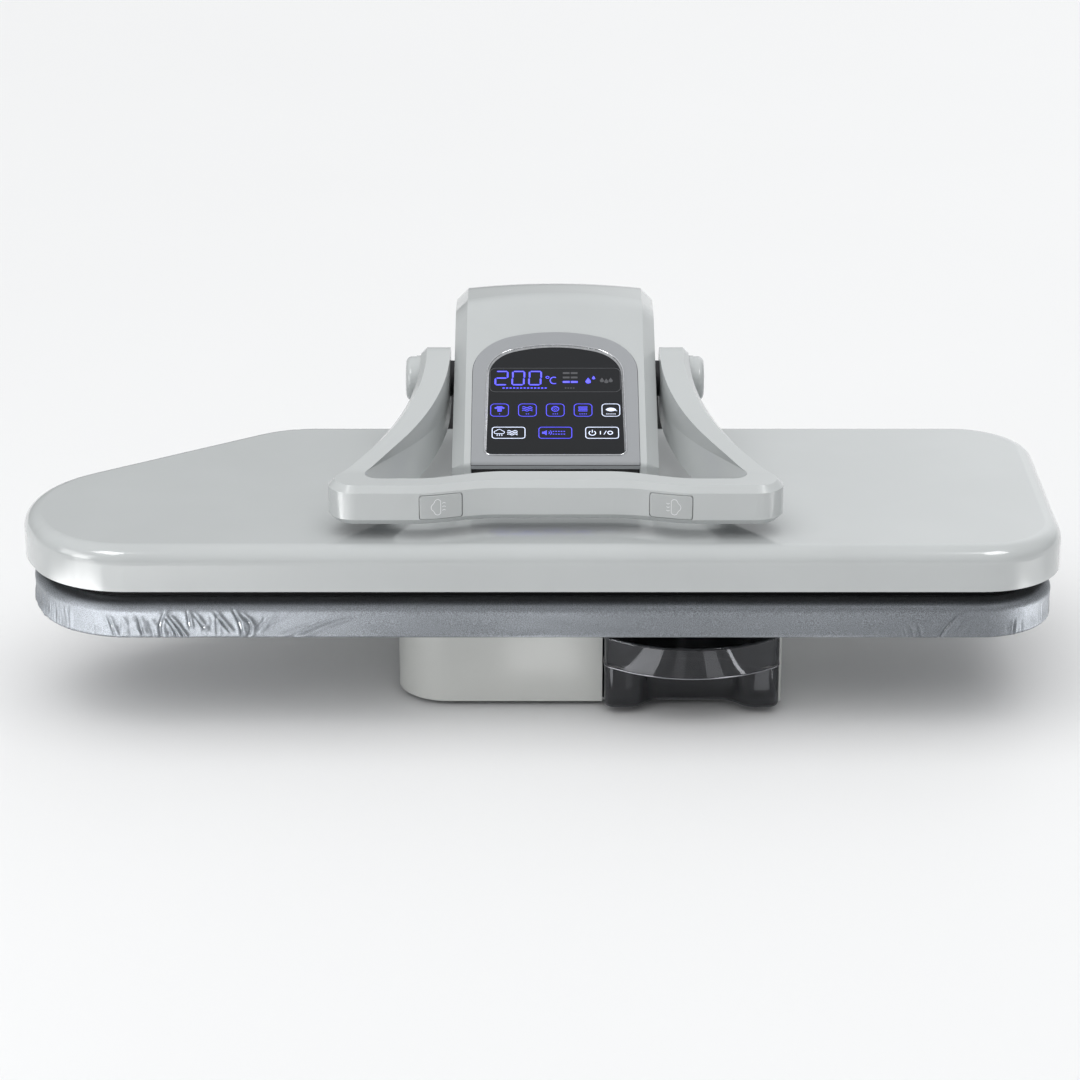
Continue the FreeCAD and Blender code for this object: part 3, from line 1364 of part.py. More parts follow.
def make_arm_housing():
    """White column housing: crowned, chamfered at both ends, hollow and open below."""
    straight = number(S.column_half - S.column_chamfer)
    end = number(S.column_half)
    chamfer = number(S.column_chamfer)
    wall = number(S.column_wall)
    middle = number(S.arm_place)
    solid = column_solid(0, straight, end, chamfer, number(S.head_top))
    hollow = column_solid(wall, straight - wall, end - wall, chamfer, number(S.head_top) - 2)
    solid = solid.cut(hollow)
    window = Part.Face(flat_wire(bezel_corners(4))).extrude(FreeCAD.Vector(0, 0, 30))
    window.Placement = face_frame().multiply(FreeCAD.Placement(FreeCAD.Vector(0, 0, -20), FreeCAD.Rotation()))
    seat = Part.Face(flat_wire(bezel_corners(-0.15))).extrude(FreeCAD.Vector(0, 0, 20))
    seat.Placement = face_frame().multiply(FreeCAD.Placement(FreeCAD.Vector(0, 0, -1.25), FreeCAD.Rotation()))
    pane = Part.Face(flat_wire(lens_corners(0))).extrude(FreeCAD.Vector(0, 0, 20))
    pane.Placement = face_frame().multiply(FreeCAD.Placement(FreeCAD.Vector(0, 0, -2.4), FreeCAD.Rotation()))
    head = number(S.head_top)
    recess_half = number(S.bezel_half) + 0.15
    back = number(S.face_start_y)
    recess = Part.makeBox(recess_half * 2, 7, 40, FreeCAD.Vector(middle - recess_half, back - 7, head - 1))
    pocket_half = recess_half + wall
    corner = FreeCAD.Vector(middle - pocket_half, back - 5, head)
    pocket_wall = Part.makeBox(pocket_half * 2, 5 + wall, 27, corner)
    solid = solid.cut(recess).fuse(pocket_wall.cut(recess))
    lip_seat = Part.makeBox(recess_half * 2, 6, 20, FreeCAD.Vector(-recess_half, -5, -1.25))
    lip_seat.Placement = face_frame()
    solid = solid.cut([window, seat, pane, lip_seat])
    across = FreeCAD.Vector(1, 0, 0)
    left = S.arm_place - 100
    rest = SPRING_RADIUS + SPRING_WIRE
    rest_half = SPRING_START + REST_HALF + 2
    holes = [
        Part.makeCylinder(number(S.axle_radius) + 0.3, 200, vector(left, S.hinge_y, S.hinge_z), across),
        Part.makeCylinder(number(S.shaft_radius) + 0.3, 200, vector(left, S.pivot_y, S.pivot_z), across),
        Part.makeBox(rest_half * 2, REST_REAR + 15, 44.5 - rest,
                     vector(S.arm_place - rest_half, S.hinge_y - REST_REAR - 5, S.hinge_z - 43)),
        Part.makeBox(REAR_WINDOW_HALF * 2, 8, REAR_WINDOW_HIGH - REAR_WINDOW_LOW,
                     vector(S.arm_place - REAR_WINDOW_HALF, S.column_rear - 6, REAR_WINDOW_LOW)),
    ]
    solid = solid.cut(holes)
    return node(feature("arm_housing", solid.removeSplitter()), "arm_housing")


def make_column_gasket():
    """Black strip in the recess under the panel."""
    half = S.bezel_half - 0.2
    back = S.face_start_y
    strip = box("column_gasket", (S.arm_place - half, back - 2, S.head_top), (S.arm_place + half, back, 184))
    return node(strip, "column_gasket")


def make_arm_rear_cover():
    """Louvred service cover in the column's rear window."""
    half = REAR_WINDOW_HALF - 0.3
    rear = S.column_rear
    plate = box("rear_plate", (S.arm_place - half, rear - 3, REAR_WINDOW_LOW + 0.3),
                (S.arm_place + half, rear - 0.2, REAR_WINDOW_HIGH - 0.3))
    lips = []
    for side in (-1, 1):
        edge = S.arm_place + side * (REAR_WINDOW_HALF - 1)
        lips.append(box("rear_lip", (edge - 6, rear - 5.5, REAR_WINDOW_LOW + 2),
                        (edge + 6, rear - 3, REAR_WINDOW_HIGH - 2)))
    slots = []
    for i in range(5):
        z = REAR_WINDOW_LOW + 12 + 8 * i
        slots.append(box("louvre", (S.arm_place - 34, rear - 7, z), (S.arm_place + 34, rear + 1, z + 3)))
    for side in (-1, 1):
        hole = rod("cover_hole", (S.arm_place + side * 44, rear - 7, 177), "Y", S.screw_radius + 0.1, 8)
        slots.append(hole)
    return node(cut("arm_rear_cover", fuse("rear_solid", [plate] + lips), slots), "arm_rear_cover")


def make_rear_cover_screws():
    screws = []
    for side in (-1, 1):
        x = S.arm_place + side * 44
        head = rod("rear_screw_head", (x, S.column_rear - 0.2, 177), "Y", 3, 1.4)
        shank = rod("rear_screw_shank", (x, S.column_rear - 12, 177), "Y", S.screw_radius, 11.8)
        screws.append(fuse("rear_screw", [head, shank]))
    return node(group("rear_cover_screws", screws), "rear_cover_screws")


def place_on_face(piece):
    """Moves a piece from its own flat frame onto the sloping face."""
    piece.Placement = FreeCAD.Placement(FreeCAD.Vector(), FreeCAD.Rotation(FreeCAD.Vector(1, 0, 0), 1))
    move(piece, (S.arm_place, S.face_start_y, S.face_start_z))
    drive(piece, "Placement.Rotation.Angle", S.face_slope)


def make_panel_bezel():
    """Raised frame on the face, with a rolled lip over its lower edge and posts for the circuit board."""
    body = new_body("bezel_body")
    place_on_face(body)
    under = -1.2
    pad(body, outline(body, "bezel_plate", "XY_Plane", under, bezel_corners(0)), S.bezel_proud - under)
    lip = [(3, S.bezel_proud), (3, under), (-5, under, 3), (-5.8, -4), (-7.8, -4), (-7, S.bezel_proud, 5)]
    pad(body, outline(body, "bezel_lip", "YZ_Plane", 0, lip), S.bezel_half * 2, both_ways=True)
    opening = outline(body, "lens_opening", "XY_Plane", S.bezel_proud, lens_corners(0))
    pocket(body, opening, S.bezel_proud - under)
    for x in (-61.8, 61.8):
        for y in (12, 100):
            post = circle(body, "board_post", "XY_Plane", under, 2.2, at=(x, y))
            pad(body, post, 5.2, reverse=True)
    return node(body, "panel_bezel")


def make_lens_trim():
    """Bright ring round the lens, bevelled towards it."""
    body = new_body("trim_body")
    place_on_face(body)
    bottom = -0.2
    top = S.bezel_proud + 0.3
    pad(body, outline(body, "trim_outline", "XY_Plane", bottom, lens_corners(0.05)), top - bottom)
    bevel = body.newObject("PartDesign::SubtractiveLoft", "trim_bevel")
    bevel.Profile = outline(body, "trim_inside_low", "XY_Plane", bottom, lens_corners(1.8))
    bevel.Sections = [outline(body, "trim_inside_high", "XY_Plane", top, lens_corners(0.5))]
    bevel.Ruled = True
    doc.recompute()
    return node(body, "lens_trim")


def make_display_lens():
    body = new_body("lens_body")
    place_on_face(body)
    pane = outline(body, "lens_outline", "XY_Plane", -S.lens_thickness - 0.2, lens_corners(0.3))
    pad(body, pane, S.lens_thickness)
    return node(body, "display_lens")


def make_display_board():
    body = new_body("display_board_body")
    place_on_face(body)
    card = rectangle(-63.5, 8, 63.5, 103)
    pad(body, outline(body, "card_outline", "XY_Plane", -8, card), S.board_thickness)
    screen = rectangle(-45, 78, 45, 102)
    pad(body, outline(body, "screen_outline", "XY_Plane", -6.4, screen), 3.6)
    keys = rectangle(-48, 20, 48, 66)
    pad(body, outline(body, "keys_outline", "XY_Plane", -6.4, keys), 3.6)
    return node(body, "display_board")


def make_pivot_spacers():
    spacers = []
    gap = S.handle_inner - S.column_half
    for start in (S.arm_place - S.handle_inner, S.arm_place + S.column_half):
        spacers.append(tube("pivot_spacer", (start, S.pivot_y, S.pivot_z), "X", 15,
                            S.shaft_radius + S.running_gap, gap))
    return node(group("pivot_spacers", spacers), "pivot_spacers")


# Handle

def mirrored(half):
    """A closed outline about the handle's middle from its right half, rear to front."""
    return half + [(-c[0], *c[1:]) for c in reversed(half)]


def handle_outside(inset):
    """The handle's outer outline, from above, about its middle."""
    side = HANDLE_OUTER - inset
    front = S.grip_front + inset
    waist = front + S.grip_waist
    slant = inset * 0.55
    return mirrored([
        (side, S.pivot_y + S.boss_outer - inset),
        (side, -50 + inset * 0.27, 300 - inset),
        (S.grip_half + 16.4 - inset - slant, front, S.grip_corner - inset),
        (102, front, 80 + inset),
        (56, waist, 80 - inset),
    ])


def handle_window(inset, low):
    """The open middle of the U, wider above (low = 0) than below (low = 1)."""
    side = S.handle_inner - inset
    depth = S.grip_front + S.grip_depth - 6 + 3.5 * low + inset
    corner_x = (159 - 24.5 * low) - inset * 0.6
    return mirrored([
        (side, S.pivot_y + S.boss_outer + 30),
        (side, -41 + low, 280 + 120 * low),
        (corner_x, depth, 12),
        (100, depth, 80),
        (54, depth + 16.5, 80),
    ])


def handle_plan(name, inset, shift=0, low=150, high=260):
    body = new_body(name)
    at = (S.arm_place, shift)
    plan = outline(body, name + "_outline", "XY_Plane", low, handle_outside(inset), at)
    pad(body, plan, high - low)
    return body


def handle_core(name, inset):
    """The open middle as a ruled loft between its lower and upper outline."""
    body = new_body(name)
    at = (S.arm_place, 0)
    lower = outline(body, name + "_low", "XY_Plane", S.grip_bottom, handle_window(inset, 1), at)
    top = S.grip_bottom + S.grip_height
    upper = outline(body, name + "_high", "XY_Plane", top, handle_window(inset, 0), at)
    loft = body.newObject("PartDesign::AdditiveLoft", name + "_loft")
    loft.Profile = lower
    loft.Sections = [upper]
    loft.Ruled = True
    doc.recompute()
    above = outline(body, name + "_above", "XY_Plane", top, handle_window(inset, 0), at)
    pad(body, above, 60)
    below = outline(body, name + "_below", "XY_Plane", S.grip_bottom, handle_window(inset, 1), at)
    pad(body, below, 20, reverse=True)
    return body


def handle_side(name, raise_bottom, inset):
    """Side view of the handle: level grip, arms that rise to the boss on the pivot."""
    body = new_body(name)
    bottom = S.grip_bottom + raise_bottom
    top = S.grip_bottom + S.grip_height - inset
    rear = S.pivot_y + S.boss_outer - inset
    boss_low = S.pivot_z - S.boss_outer + 2.7 + raise_bottom
    boss_high = S.pivot_z + S.boss_outer + 5.6 - inset
    profile = [
        (-210, bottom),
        (-150, bottom, 60),
        (rear, boss_low, 23),
        (rear, boss_high, 26),
        (-150, top, 60),
        (-210, top),
    ]
    side = outline(body, name + "_profile", "YZ_Plane", S.arm_place, profile)
    pad(body, side, (S.grip_half + 30) * 2, both_ways=True)
    return body


def common(name, pieces):
    shared = doc.addObject("Part::MultiCommon", name)
    shared.Shapes = pieces
    return shared


def chamfered(name, base, size, pick):
    dress = doc.addObject("Part::Chamfer", name)
    dress.Base = base
    doc.recompute()
    dress.Edges = [(i, size, size) for i, edge in enumerate(base.Shape.Edges, start=1) if pick(edge)]
    doc.recompute()
    return dress


CAVITY_INSET = S.handle_wall + 2.7
UNDERSIDE_SHEET = 2.5
UNDERSIDE_GAP = 0.3
BUTTON_CORNER = 2.2
BUTTON_DEPTH = 6


def handle_block(name, plan_inset, raise_bottom, top_inset):
    """Where the handle's outline from above and its side view meet."""
    return common(name, [handle_plan(name + "_plan", plan_inset),
                         handle_side(name + "_side", raise_bottom, top_inset)])


def on_outer_rim(edge):
    """Edges of the handle block along its top and bottom, not those across it or upright."""
    ends = edge.BoundBox
    if ends.XLength < 0.01 and ends.YLength < 0.01:
        return False
    across = ends.YLength < 0.01 and ends.ZLength < 0.01
    return not across or ends.YMax < number(S.grip_front) + 20


def button_prism(name, side, grow):
    """A rounded block through the grip's front, one button wide."""
    body = new_body(name)
    half = S.button_width / 2 + grow
    rise = S.button_height / 2 + grow
    corners = rectangle(-half, -rise, half, rise, BUTTON_CORNER)
    at = (S.arm_place + side * S.button_place, S.button_middle)
    pad(body, outline(body, name + "_outline", "XZ_Plane", 172, corners, at), 40)
    return body


def make_handle_frame():
    """White U handle: hollow arms and grip, a boss at each pivot, holes for the steam buttons."""
    block = handle_block("handle_outer", 0, 0, 0)
    rim = chamfered("handle_rim", block, number(S.handle_chamfer), on_outer_rim)
    solid = cut("handle_u", rim, [handle_core("handle_core", 0)])
    room = cut("handle_room", handle_block("handle_inner", CAVITY_INSET, -10, S.handle_wall),
               [handle_core("room_core", -S.handle_wall)])
    hollow = cut("handle_hollow", solid, [room])
    tubes = []
    tools = []
    for side in (-1, 1):
        inner = S.arm_place + (S.handle_inner + 1 if side > 0 else -(HANDLE_OUTER - 1))
        tubes.append(rod("shaft_tube", (inner, S.pivot_y, S.pivot_z), "X", 11, S.handle_width - 2))
        start = S.arm_place + (S.handle_inner - 1 if side > 0 else -(HANDLE_OUTER + 1))
        tools.append(rod("shaft_hole", (start, S.pivot_y, S.pivot_z), "X",
                         S.shaft_radius + S.running_gap, S.handle_width + 2))
        seat = S.arm_place + (HANDLE_OUTER if side > 0 else -HANDLE_OUTER - 5)
        tools.append(rod("cap_seat", (seat, S.pivot_y, S.pivot_z), "X", S.cap_flange + 0.3, 5))
        tools.append(button_prism(f"button_hole_{side + 1}", side, S.button_gap))
    return node(cut("handle_frame", fuse("handle_tubes", [hollow] + tubes), tools), "handle_frame")


def make_handle_underside():
    """Dark plate snapped into the open underside."""
    gap = 0.2
    band = handle_block("underside_block", CAVITY_INSET + gap, UNDERSIDE_GAP, 0)
    above = handle_side("underside_above", UNDERSIDE_GAP + UNDERSIDE_SHEET, -8)
    core = handle_core("underside_core", -S.handle_wall - gap)
    return node(cut("handle_underside", band, [core, above]), "handle_underside")


def make_steam_button(side, name):
    """White push button that follows the grip's front, with a flange behind the wall."""
    plan = handle_plan(name + "_front", -S.button_proud)
    face = common(name + "_face", [button_prism(name + "_prism", side, 0), plan])
    doc.recompute()
    rounded = doc.addObject("Part::Fillet", name + "_round")
    rounded.Base = face
    front = number(S.grip_front) + 8.5
    rounded.Edges = [(i, 0.7, 0.7) for i, edge in enumerate(face.Shape.Edges, start=1)
                     if edge.CenterOfMass.y < front]
    key = cut(name + "_key", rounded, [handle_plan(name + "_back", BUTTON_DEPTH)])
    flange = handle_plan(name + "_flange", BUTTON_DEPTH)
    band = common(name + "_band", [button_prism(name + "_wide", side, 2), flange])
    flange = cut(name + "_rim", band, [handle_plan(name + "_end", BUTTON_DEPTH + 1.4)])
    return node(fuse(name, [key, flange]), name)


def make_micro_switches():
    """One switch behind each steam button, standing on the underside plate."""
    floor = S.grip_bottom + UNDERSIDE_GAP + UNDERSIDE_SHEET
    switches = []
    for side in (-1, 1):
        x = S.arm_place + side * (S.button_place + 13)
        switches.append(box("switch_block", (x - 5, -178.4, floor), (x + 5, -172.4, floor + 16)))
    return node(group("micro_switches", switches), "micro_switches")


def make_handle_shaft():
    half = HANDLE_OUTER - 0.5
    bar = rod("shaft_bar", (S.arm_place - half, S.pivot_y, S.pivot_z), "X", S.shaft_radius, half * 2)
    holes = [rod("shaft_thread", (S.arm_place - half - 1, S.pivot_y, S.pivot_z), "X", BRACKET_SCREW, 16),
             rod("shaft_thread", (S.arm_place + half - 15, S.pivot_y, S.pivot_z), "X", BRACKET_SCREW, 16)]
    return node(cut("handle_shaft", bar, holes), "handle_shaft")


def make_shaft_screws():
    screws = []
    for side in (-1, 1):
        end = S.arm_place + side * (HANDLE_OUTER - 0.5)
        head_start = end if side > 0 else end - 2.5
        shank_start = end - 13 if side > 0 else end
        head = rod("shaft_screw_head", (head_start, S.pivot_y, S.pivot_z), "X", 5.5, 2.5)
        shank = rod("shaft_screw_shank", (shank_start, S.pivot_y, S.pivot_z), "X", BRACKET_SCREW, 13)
        screws.append(fuse("shaft_screw", [head, shank]))
    return node(group("shaft_screws", screws), "shaft_screws")


CAP_FLANGE_WIDTH = 3.8
CAP_DOME_RADIUS = 18.5
CAP_DOME_WIDTH = 8.8


def make_pivot_cap(side, name):
    """Round cap over the shaft's end: a flange and a domed disc with a soft edge."""
    body = new_body(name + "_body")
    at = (S.pivot_y, S.pivot_z)
    face = S.arm_place + side * HANDLE_OUTER
    pad(body, circle(body, name + "_flange", "YZ_Plane", face, S.cap_flange, at=at), CAP_FLANGE_WIDTH,
        reverse=side < 0)
    width = CAP_FLANGE_WIDTH + CAP_DOME_WIDTH
    pad(body, circle(body, name + "_dome", "YZ_Plane", face, CAP_DOME_RADIUS, at=at), width, reverse=side < 0)
    outer_x = number(face) + side * width
    round_edges(body, 5, lambda edge: abs(edge.BoundBox.XMin - outer_x) < 0.01
                and abs(edge.BoundBox.XMax - outer_x) < 0.01)
    recess = circle(body, name + "_recess", "YZ_Plane", face, 8, at=at)
    pocket(body, recess, 3.5, reverse=side > 0)
    return node(body, name)


# Lift springs

SPRING_WIRE = 1.6
SPRING_RADIUS = 14
SPRING_TURNS = 5.25
SPRING_PITCH = 4.4
SPRING_START = 14


def spring_wire(side):
    """One coil on the axle with a straight leg at each end, as a smooth curve through its points."""
    hinge = vector(0, S.hinge_y, S.hinge_z)
    middle = number(S.arm_place)
    steps = int(SPRING_TURNS * 16)
    points = []
    for i in range(steps + 1):
        angle = 2 * math.pi * i / 16 - math.pi / 2
        x = middle + side * (SPRING_START + SPRING_PITCH * i / 16)
        turn = FreeCAD.Vector(x, SPRING_RADIUS * math.cos(angle), SPRING_RADIUS * math.sin(angle))
        points.append(hinge + turn)
    first = points[0]
    last = points[-1]
    lead = [FreeCAD.Vector(first.x, first.y - 24 + 6 * i, first.z) for i in range(4)]
    tail = [FreeCAD.Vector(last.x, last.y, last.z + 6 * i) for i in range(1, 5)]
    curve = Part.BSplineCurve()
    curve.interpolate(lead + points + tail)
    return Part.Wire(curve.toShape())


def make_lift_springs():
    coils = [pipe(spring_wire(side), SPRING_WIRE) for side in (-1, 1)]
    return node(feature("lift_springs", Part.makeCompound(coils)), "lift_springs")


# Build every sub-part, check it and write its file

def build_all():
    make_base_shell()
    make_tank_bay()
    make_hinge_tower()
    make_base_plate()
    make_rubber_feet()
    make_base_screws()
    make_board_posts()
    make_board_screws()
    make_hinge_cheek(-1, "hinge_cheek_left")
    make_hinge_cheek(1, "hinge_cheek_right")
    make_hinge_bracket()
    make_bracket_screws()
    make_hinge_axle()
    make_axle_clips()
    make_lift_springs()
    make_tank_dock()
    make_pump()
    make_pump_hose()
    make_power_board()
    make_cord_gland()
    make_board_tray()
    make_board_pad()
    make_board_cover()
    make_tank_body()
    make_tank_lid()
    make_tank_seal()
    make_tank_valve()
    make_scale_filter()
    make_tank_cap()
    make_head_cover()
    make_heat_shield()
    make_shield_screws()
    make_heating_plate()
    make_heating_element()
    make_steam_chamber()
    make_thermostat()
    make_plate_studs()
    make_water_hose()
    make_arm_frame()
    make_frame_screws()
    make_hinge_bushes()
    make_arm_housing()
    make_column_gasket()
    make_arm_rear_cover()
    make_rear_cover_screws()
    make_panel_bezel()
    make_lens_trim()
    make_display_lens()
    make_display_board()
    make_pivot_spacers()
    make_handle_frame()
    make_handle_underside()
    make_handle_shaft()
    make_shaft_screws()
    make_pivot_cap(-1, "pivot_cap_left")
    make_pivot_cap(1, "pivot_cap_right")
    make_micro_switches()
    make_steam_button(-1, "steam_button_left")
    make_steam_button(1, "steam_button_right")


def check_and_export():
    doc.recompute()
    for thing in doc.Objects:
        if "Invalid" in thing.State or "Error" in thing.State:
            raise RuntimeError(f"{thing.Label} is {thing.State}")
    os.makedirs("parts", exist_ok=True)
    for name, piece in nodes.items():
        shape = piece.Shape
        if shape.isNull() or not shape.isValid():
            raise RuntimeError(f"{name} has no valid shape")
        shape.exportStep(f"parts/{name}.step")
        print(f"{name}: {len(shape.Solids)} solids, {shape.Volume:.0f} mm3")


build_all()
check_and_export()
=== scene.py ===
"""Looks of a table steam ironing press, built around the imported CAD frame."""

import math
import random

import bmesh
import bpy
from mathutils import Matrix, Vector, geometry, noise
from mathutils.bvhtree import BVHTree


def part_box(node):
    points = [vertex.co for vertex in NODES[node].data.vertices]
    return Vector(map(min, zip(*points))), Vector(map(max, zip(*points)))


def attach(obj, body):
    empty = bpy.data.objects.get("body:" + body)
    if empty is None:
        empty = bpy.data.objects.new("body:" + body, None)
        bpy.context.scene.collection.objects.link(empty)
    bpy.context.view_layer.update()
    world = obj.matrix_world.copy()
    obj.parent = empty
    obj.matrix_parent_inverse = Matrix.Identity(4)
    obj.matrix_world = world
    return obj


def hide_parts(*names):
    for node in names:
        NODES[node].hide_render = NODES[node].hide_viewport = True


bl_info = {
    "name": "Steam ironing press",
    "version": (1, 0, 0),
    "blender": (4, 5, 0),
    "location": "3D View > Sidebar > Press",
    "description": "Materials, cover, pad, display and trim of a steam ironing press",
    "category": "Object",
}

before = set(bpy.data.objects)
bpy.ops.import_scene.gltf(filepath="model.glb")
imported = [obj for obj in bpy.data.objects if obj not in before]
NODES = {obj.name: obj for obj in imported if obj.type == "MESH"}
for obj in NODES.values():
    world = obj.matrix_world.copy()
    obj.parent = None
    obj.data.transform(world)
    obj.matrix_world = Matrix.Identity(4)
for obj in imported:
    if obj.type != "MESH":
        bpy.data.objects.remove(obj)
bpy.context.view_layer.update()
MM = 0.001


# What a user would change

class PRESS_PG_look(bpy.types.PropertyGroup):
    """Sizes and colours of the press that a user would change"""
    shell_colour: bpy.props.FloatVectorProperty(
        name="Shell colour", description="Colour of the glossy upper shells", subtype="COLOR", size=3,
        min=0, max=1, default=(0.525, 0.545, 0.545))
    # The base's colour is the shells' plastic made lighter: partly its own warm tone, partly painted light for the
    # shade it lies in under the board
    base_colour_and_light: bpy.props.FloatVectorProperty(
        name="Base colour", description="Colour of the moulded base", subtype="COLOR", size=3,
        min=0, max=1, default=(0.68, 0.69, 0.665))
    cloth_colour: bpy.props.FloatVectorProperty(
        name="Cloth colour", description="Middle colour of the coated cover", subtype="COLOR", size=3,
        min=0, max=1, default=(0.207, 0.221, 0.239))
    display_colour: bpy.props.FloatVectorProperty(
        name="Display colour", description="Colour of the lit figures", subtype="COLOR", size=3,
        min=0, max=1, default=(0.085, 0.08, 0.85))
    display_power: bpy.props.FloatProperty(
        name="Display power", description="Brightness of the lit figures", min=0, max=10, default=1.5)
    cloth_thickness: bpy.props.FloatProperty(
        name="Cloth thickness", description="Thickness of the cover's cloth", unit="LENGTH",
        min=0.0003, max=0.001, default=0.0006)
    crease_height: bpy.props.FloatProperty(
        name="Crease height", description="How far the cover's creases stand out", subtype="FACTOR",
        min=0, max=1.5, default=1.0)
    stitch_length: bpy.props.FloatProperty(
        name="Stitch length", description="Length of one hem stitch", unit="LENGTH",
        min=0.001, max=0.006, default=0.0028)
    stitch_gap: bpy.props.FloatProperty(
        name="Stitch gap", description="Space between two hem stitches", unit="LENGTH",
        min=0.0005, max=0.004, default=0.0012)
    recess_width: bpy.props.FloatProperty(
        name="Recess width", description="Width of one slot of the screws' cross recess", unit="LENGTH",
        min=0.0003, max=0.0012, default=0.0007)


# Node trees

class Socket:
    """One output of a node. Operators add Math nodes."""

    def __init__(self, nodes, link):
        self.nodes, self.link = nodes, link

    def maths(self, operation, other):
        return self.nodes.add("ShaderNodeMath", {0: self, 1: other}, operation=operation)

    def __add__(self, other):
        return self.maths("ADD", other)

    def __mul__(self, other):
        return self.maths("MULTIPLY", other)

    def ramp(self, low, high, first=0.0, last=1.0):
        """Goes softly from first, at low, to last, at high."""
        inputs = {"Value": self, "From Min": low, "From Max": high, "To Min": first, "To Max": last}
        return self.nodes.add("ShaderNodeMapRange", inputs, "Result", interpolation_type="SMOOTHSTEP")


class Nodes:
    """A node tree, built by short calls."""

    def __init__(self, tree):
        self.tree = tree

    def feed(self, entry, value):
        """Links a socket to an input, or sets the input to a value."""
        if isinstance(value, Socket):
            self.tree.links.new(value.link, entry)
        else:
            entry.default_value = value

    def add(self, kind, inputs=None, result=0, **settings):
        """Any node: its type, the values or links of its inputs, the output used, and its settings."""
        node = self.tree.nodes.new(kind)
        for name, value in settings.items():
            setattr(node, name, value)
        for name, value in (inputs or {}).items():
            self.feed(node.inputs[name], value)
        return Socket(self, node.outputs[result])


class Finish(Nodes):
    """A procedural material on one Principled shader."""

    def __init__(self, name, **constants):
        material = bpy.data.materials.new(name)
        material.use_nodes = True
        super().__init__(material.node_tree)
        self.tree.nodes.clear()
        self.surface = self.tree.nodes.new("ShaderNodeOutputMaterial").inputs["Surface"]
        self.shader = self.tree.nodes.new("ShaderNodeBsdfPrincipled")
        self.tree.links.new(self.shader.outputs[0], self.surface)
        self.set(**constants)

    def set(self, **values):
        """Feeds inputs of the shader. An underscore stands for the space in an input's name."""
        for name, value in values.items():
            self.feed(self.shader.inputs[name.replace("_", " ")], value)

    def place(self, scale=(1, 1, 1)):
        """Object coordinates, stretched."""
        where = self.add("ShaderNodeTexCoord", result="Object")
        return self.add("ShaderNodeMapping", {"Vector": where, "Scale": scale})

    def grain(self, scale, detail=2.0, roughness=0.5, where=None):
        """Noise of so many bumps a metre, from 0 to 1."""
        inputs = {"Vector": where or self.place(), "Scale": scale, "Detail": detail, "Roughness": roughness}
        return self.add("ShaderNodeTexNoise", inputs, "Fac")

    def blend(self, factor, first, second):
        """A colour between two colours."""
        first, second = (c if isinstance(c, Socket) else (*c, 1) for c in (first, second))
        return self.add("ShaderNodeMix", {0: factor, 6: first, 7: second}, 2, data_type="RGBA")

    def see_through(self, tint, cover):
        """Light passes, tinted, where cover is 0, and the shader shows where it is 1."""
        clear = self.add("ShaderNodeBsdfTransparent", {"Color": (*tint, 1)})
        shown = Socket(self, self.shader.outputs[0])
        self.feed(self.surface, self.add("ShaderNodeMixShader", {"Fac": cover, 1: clear, 2: shown}))

    def bump(self, height, strength, distance):
        """Raises the surface by height, a socket, over a distance in metres."""
        inputs = {"Height": height, "Strength": strength, "Distance": distance}
        self.set(Normal=self.add("ShaderNodeBump", inputs, "Normal"))


def toned(colour, factor):
    return tuple(c * factor for c in colour)


def moulded(name, colour, rough=0.2, peel=0.12, **constants):
    """Injection moulded plastic: a faint cloudiness, an uneven gloss and a fine orange peel."""
    finish = Finish(name, **constants)
    finish.set(Base_Color=finish.blend(finish.grain(9, 3).ramp(0.35, 0.65), toned(colour, 0.97), colour),
               Roughness=finish.grain(60, 3) * (rough * 0.35) + rough * 0.82)
    finish.bump(finish.grain(750, 2), peel, 0.12 * MM)


def textured(name, colour, rough=0.55, scale=2600, **constants):
    """Plastic from a spark-eroded mould, matt and finely pitted."""
    finish = Finish(name, **constants)
    pits = finish.grain(scale, 2, 0.6)
    finish.set(Base_Color=finish.blend(pits.ramp(0.35, 0.6), toned(colour, 0.8), colour),
               Roughness=finish.grain(40, 2) * 0.15 + (rough - 0.05))
    finish.bump(pits, 0.35, 0.1 * MM)


def metal(name, colour, rough, stretch=(1, 1, 1), scale=900, strength=0.15):
    """Metal with a fine lay of scratches along one direction."""
    finish = Finish(name, Metallic=1.0)
    lay = finish.grain(scale, 3, 0.6, finish.place(stretch))
    finish.set(Base_Color=finish.blend(lay.ramp(0.3, 0.7), toned(colour, 0.86), colour),
               Roughness=lay * (rough * 0.5) + rough * 0.75)
    finish.bump(lay, strength, 0.05 * MM)


def rubbery(name, colour, rough=0.75):
    """Soft matt rubber with light dust in its pores."""
    finish = Finish(name)
    dust = finish.grain(500, 4, 0.7)
    lighter = tuple(c + 0.02 for c in toned(colour, 1.7))
    finish.set(Base_Color=finish.blend(dust.ramp(0.5, 0.75), colour, lighter),
               Roughness=dust * 0.2 + (rough - 0.1))
    finish.bump(dust, 0.25, 0.1 * MM)


def clear_plastic(name, tint):
    """Smoked see-through plastic: mirror-like at a glance, with faint flow marks in its gloss."""
    finish = Finish(name, Metallic=1.0, Base_Color=(0.80, 0.82, 0.86, 1))
    flow = finish.grain(30, 3)
    finish.set(Roughness=flow * 0.05 + 0.025)
    glance = finish.add("ShaderNodeLayerWeight", {"Blend": 0.5}, "Facing")
    finish.see_through(tint, glance.maths("POWER", 2.2) * 0.45 + flow * 0.015 + 0.035)
    finish.bump(finish.grain(90, 1), 0.04, 0.4 * MM)


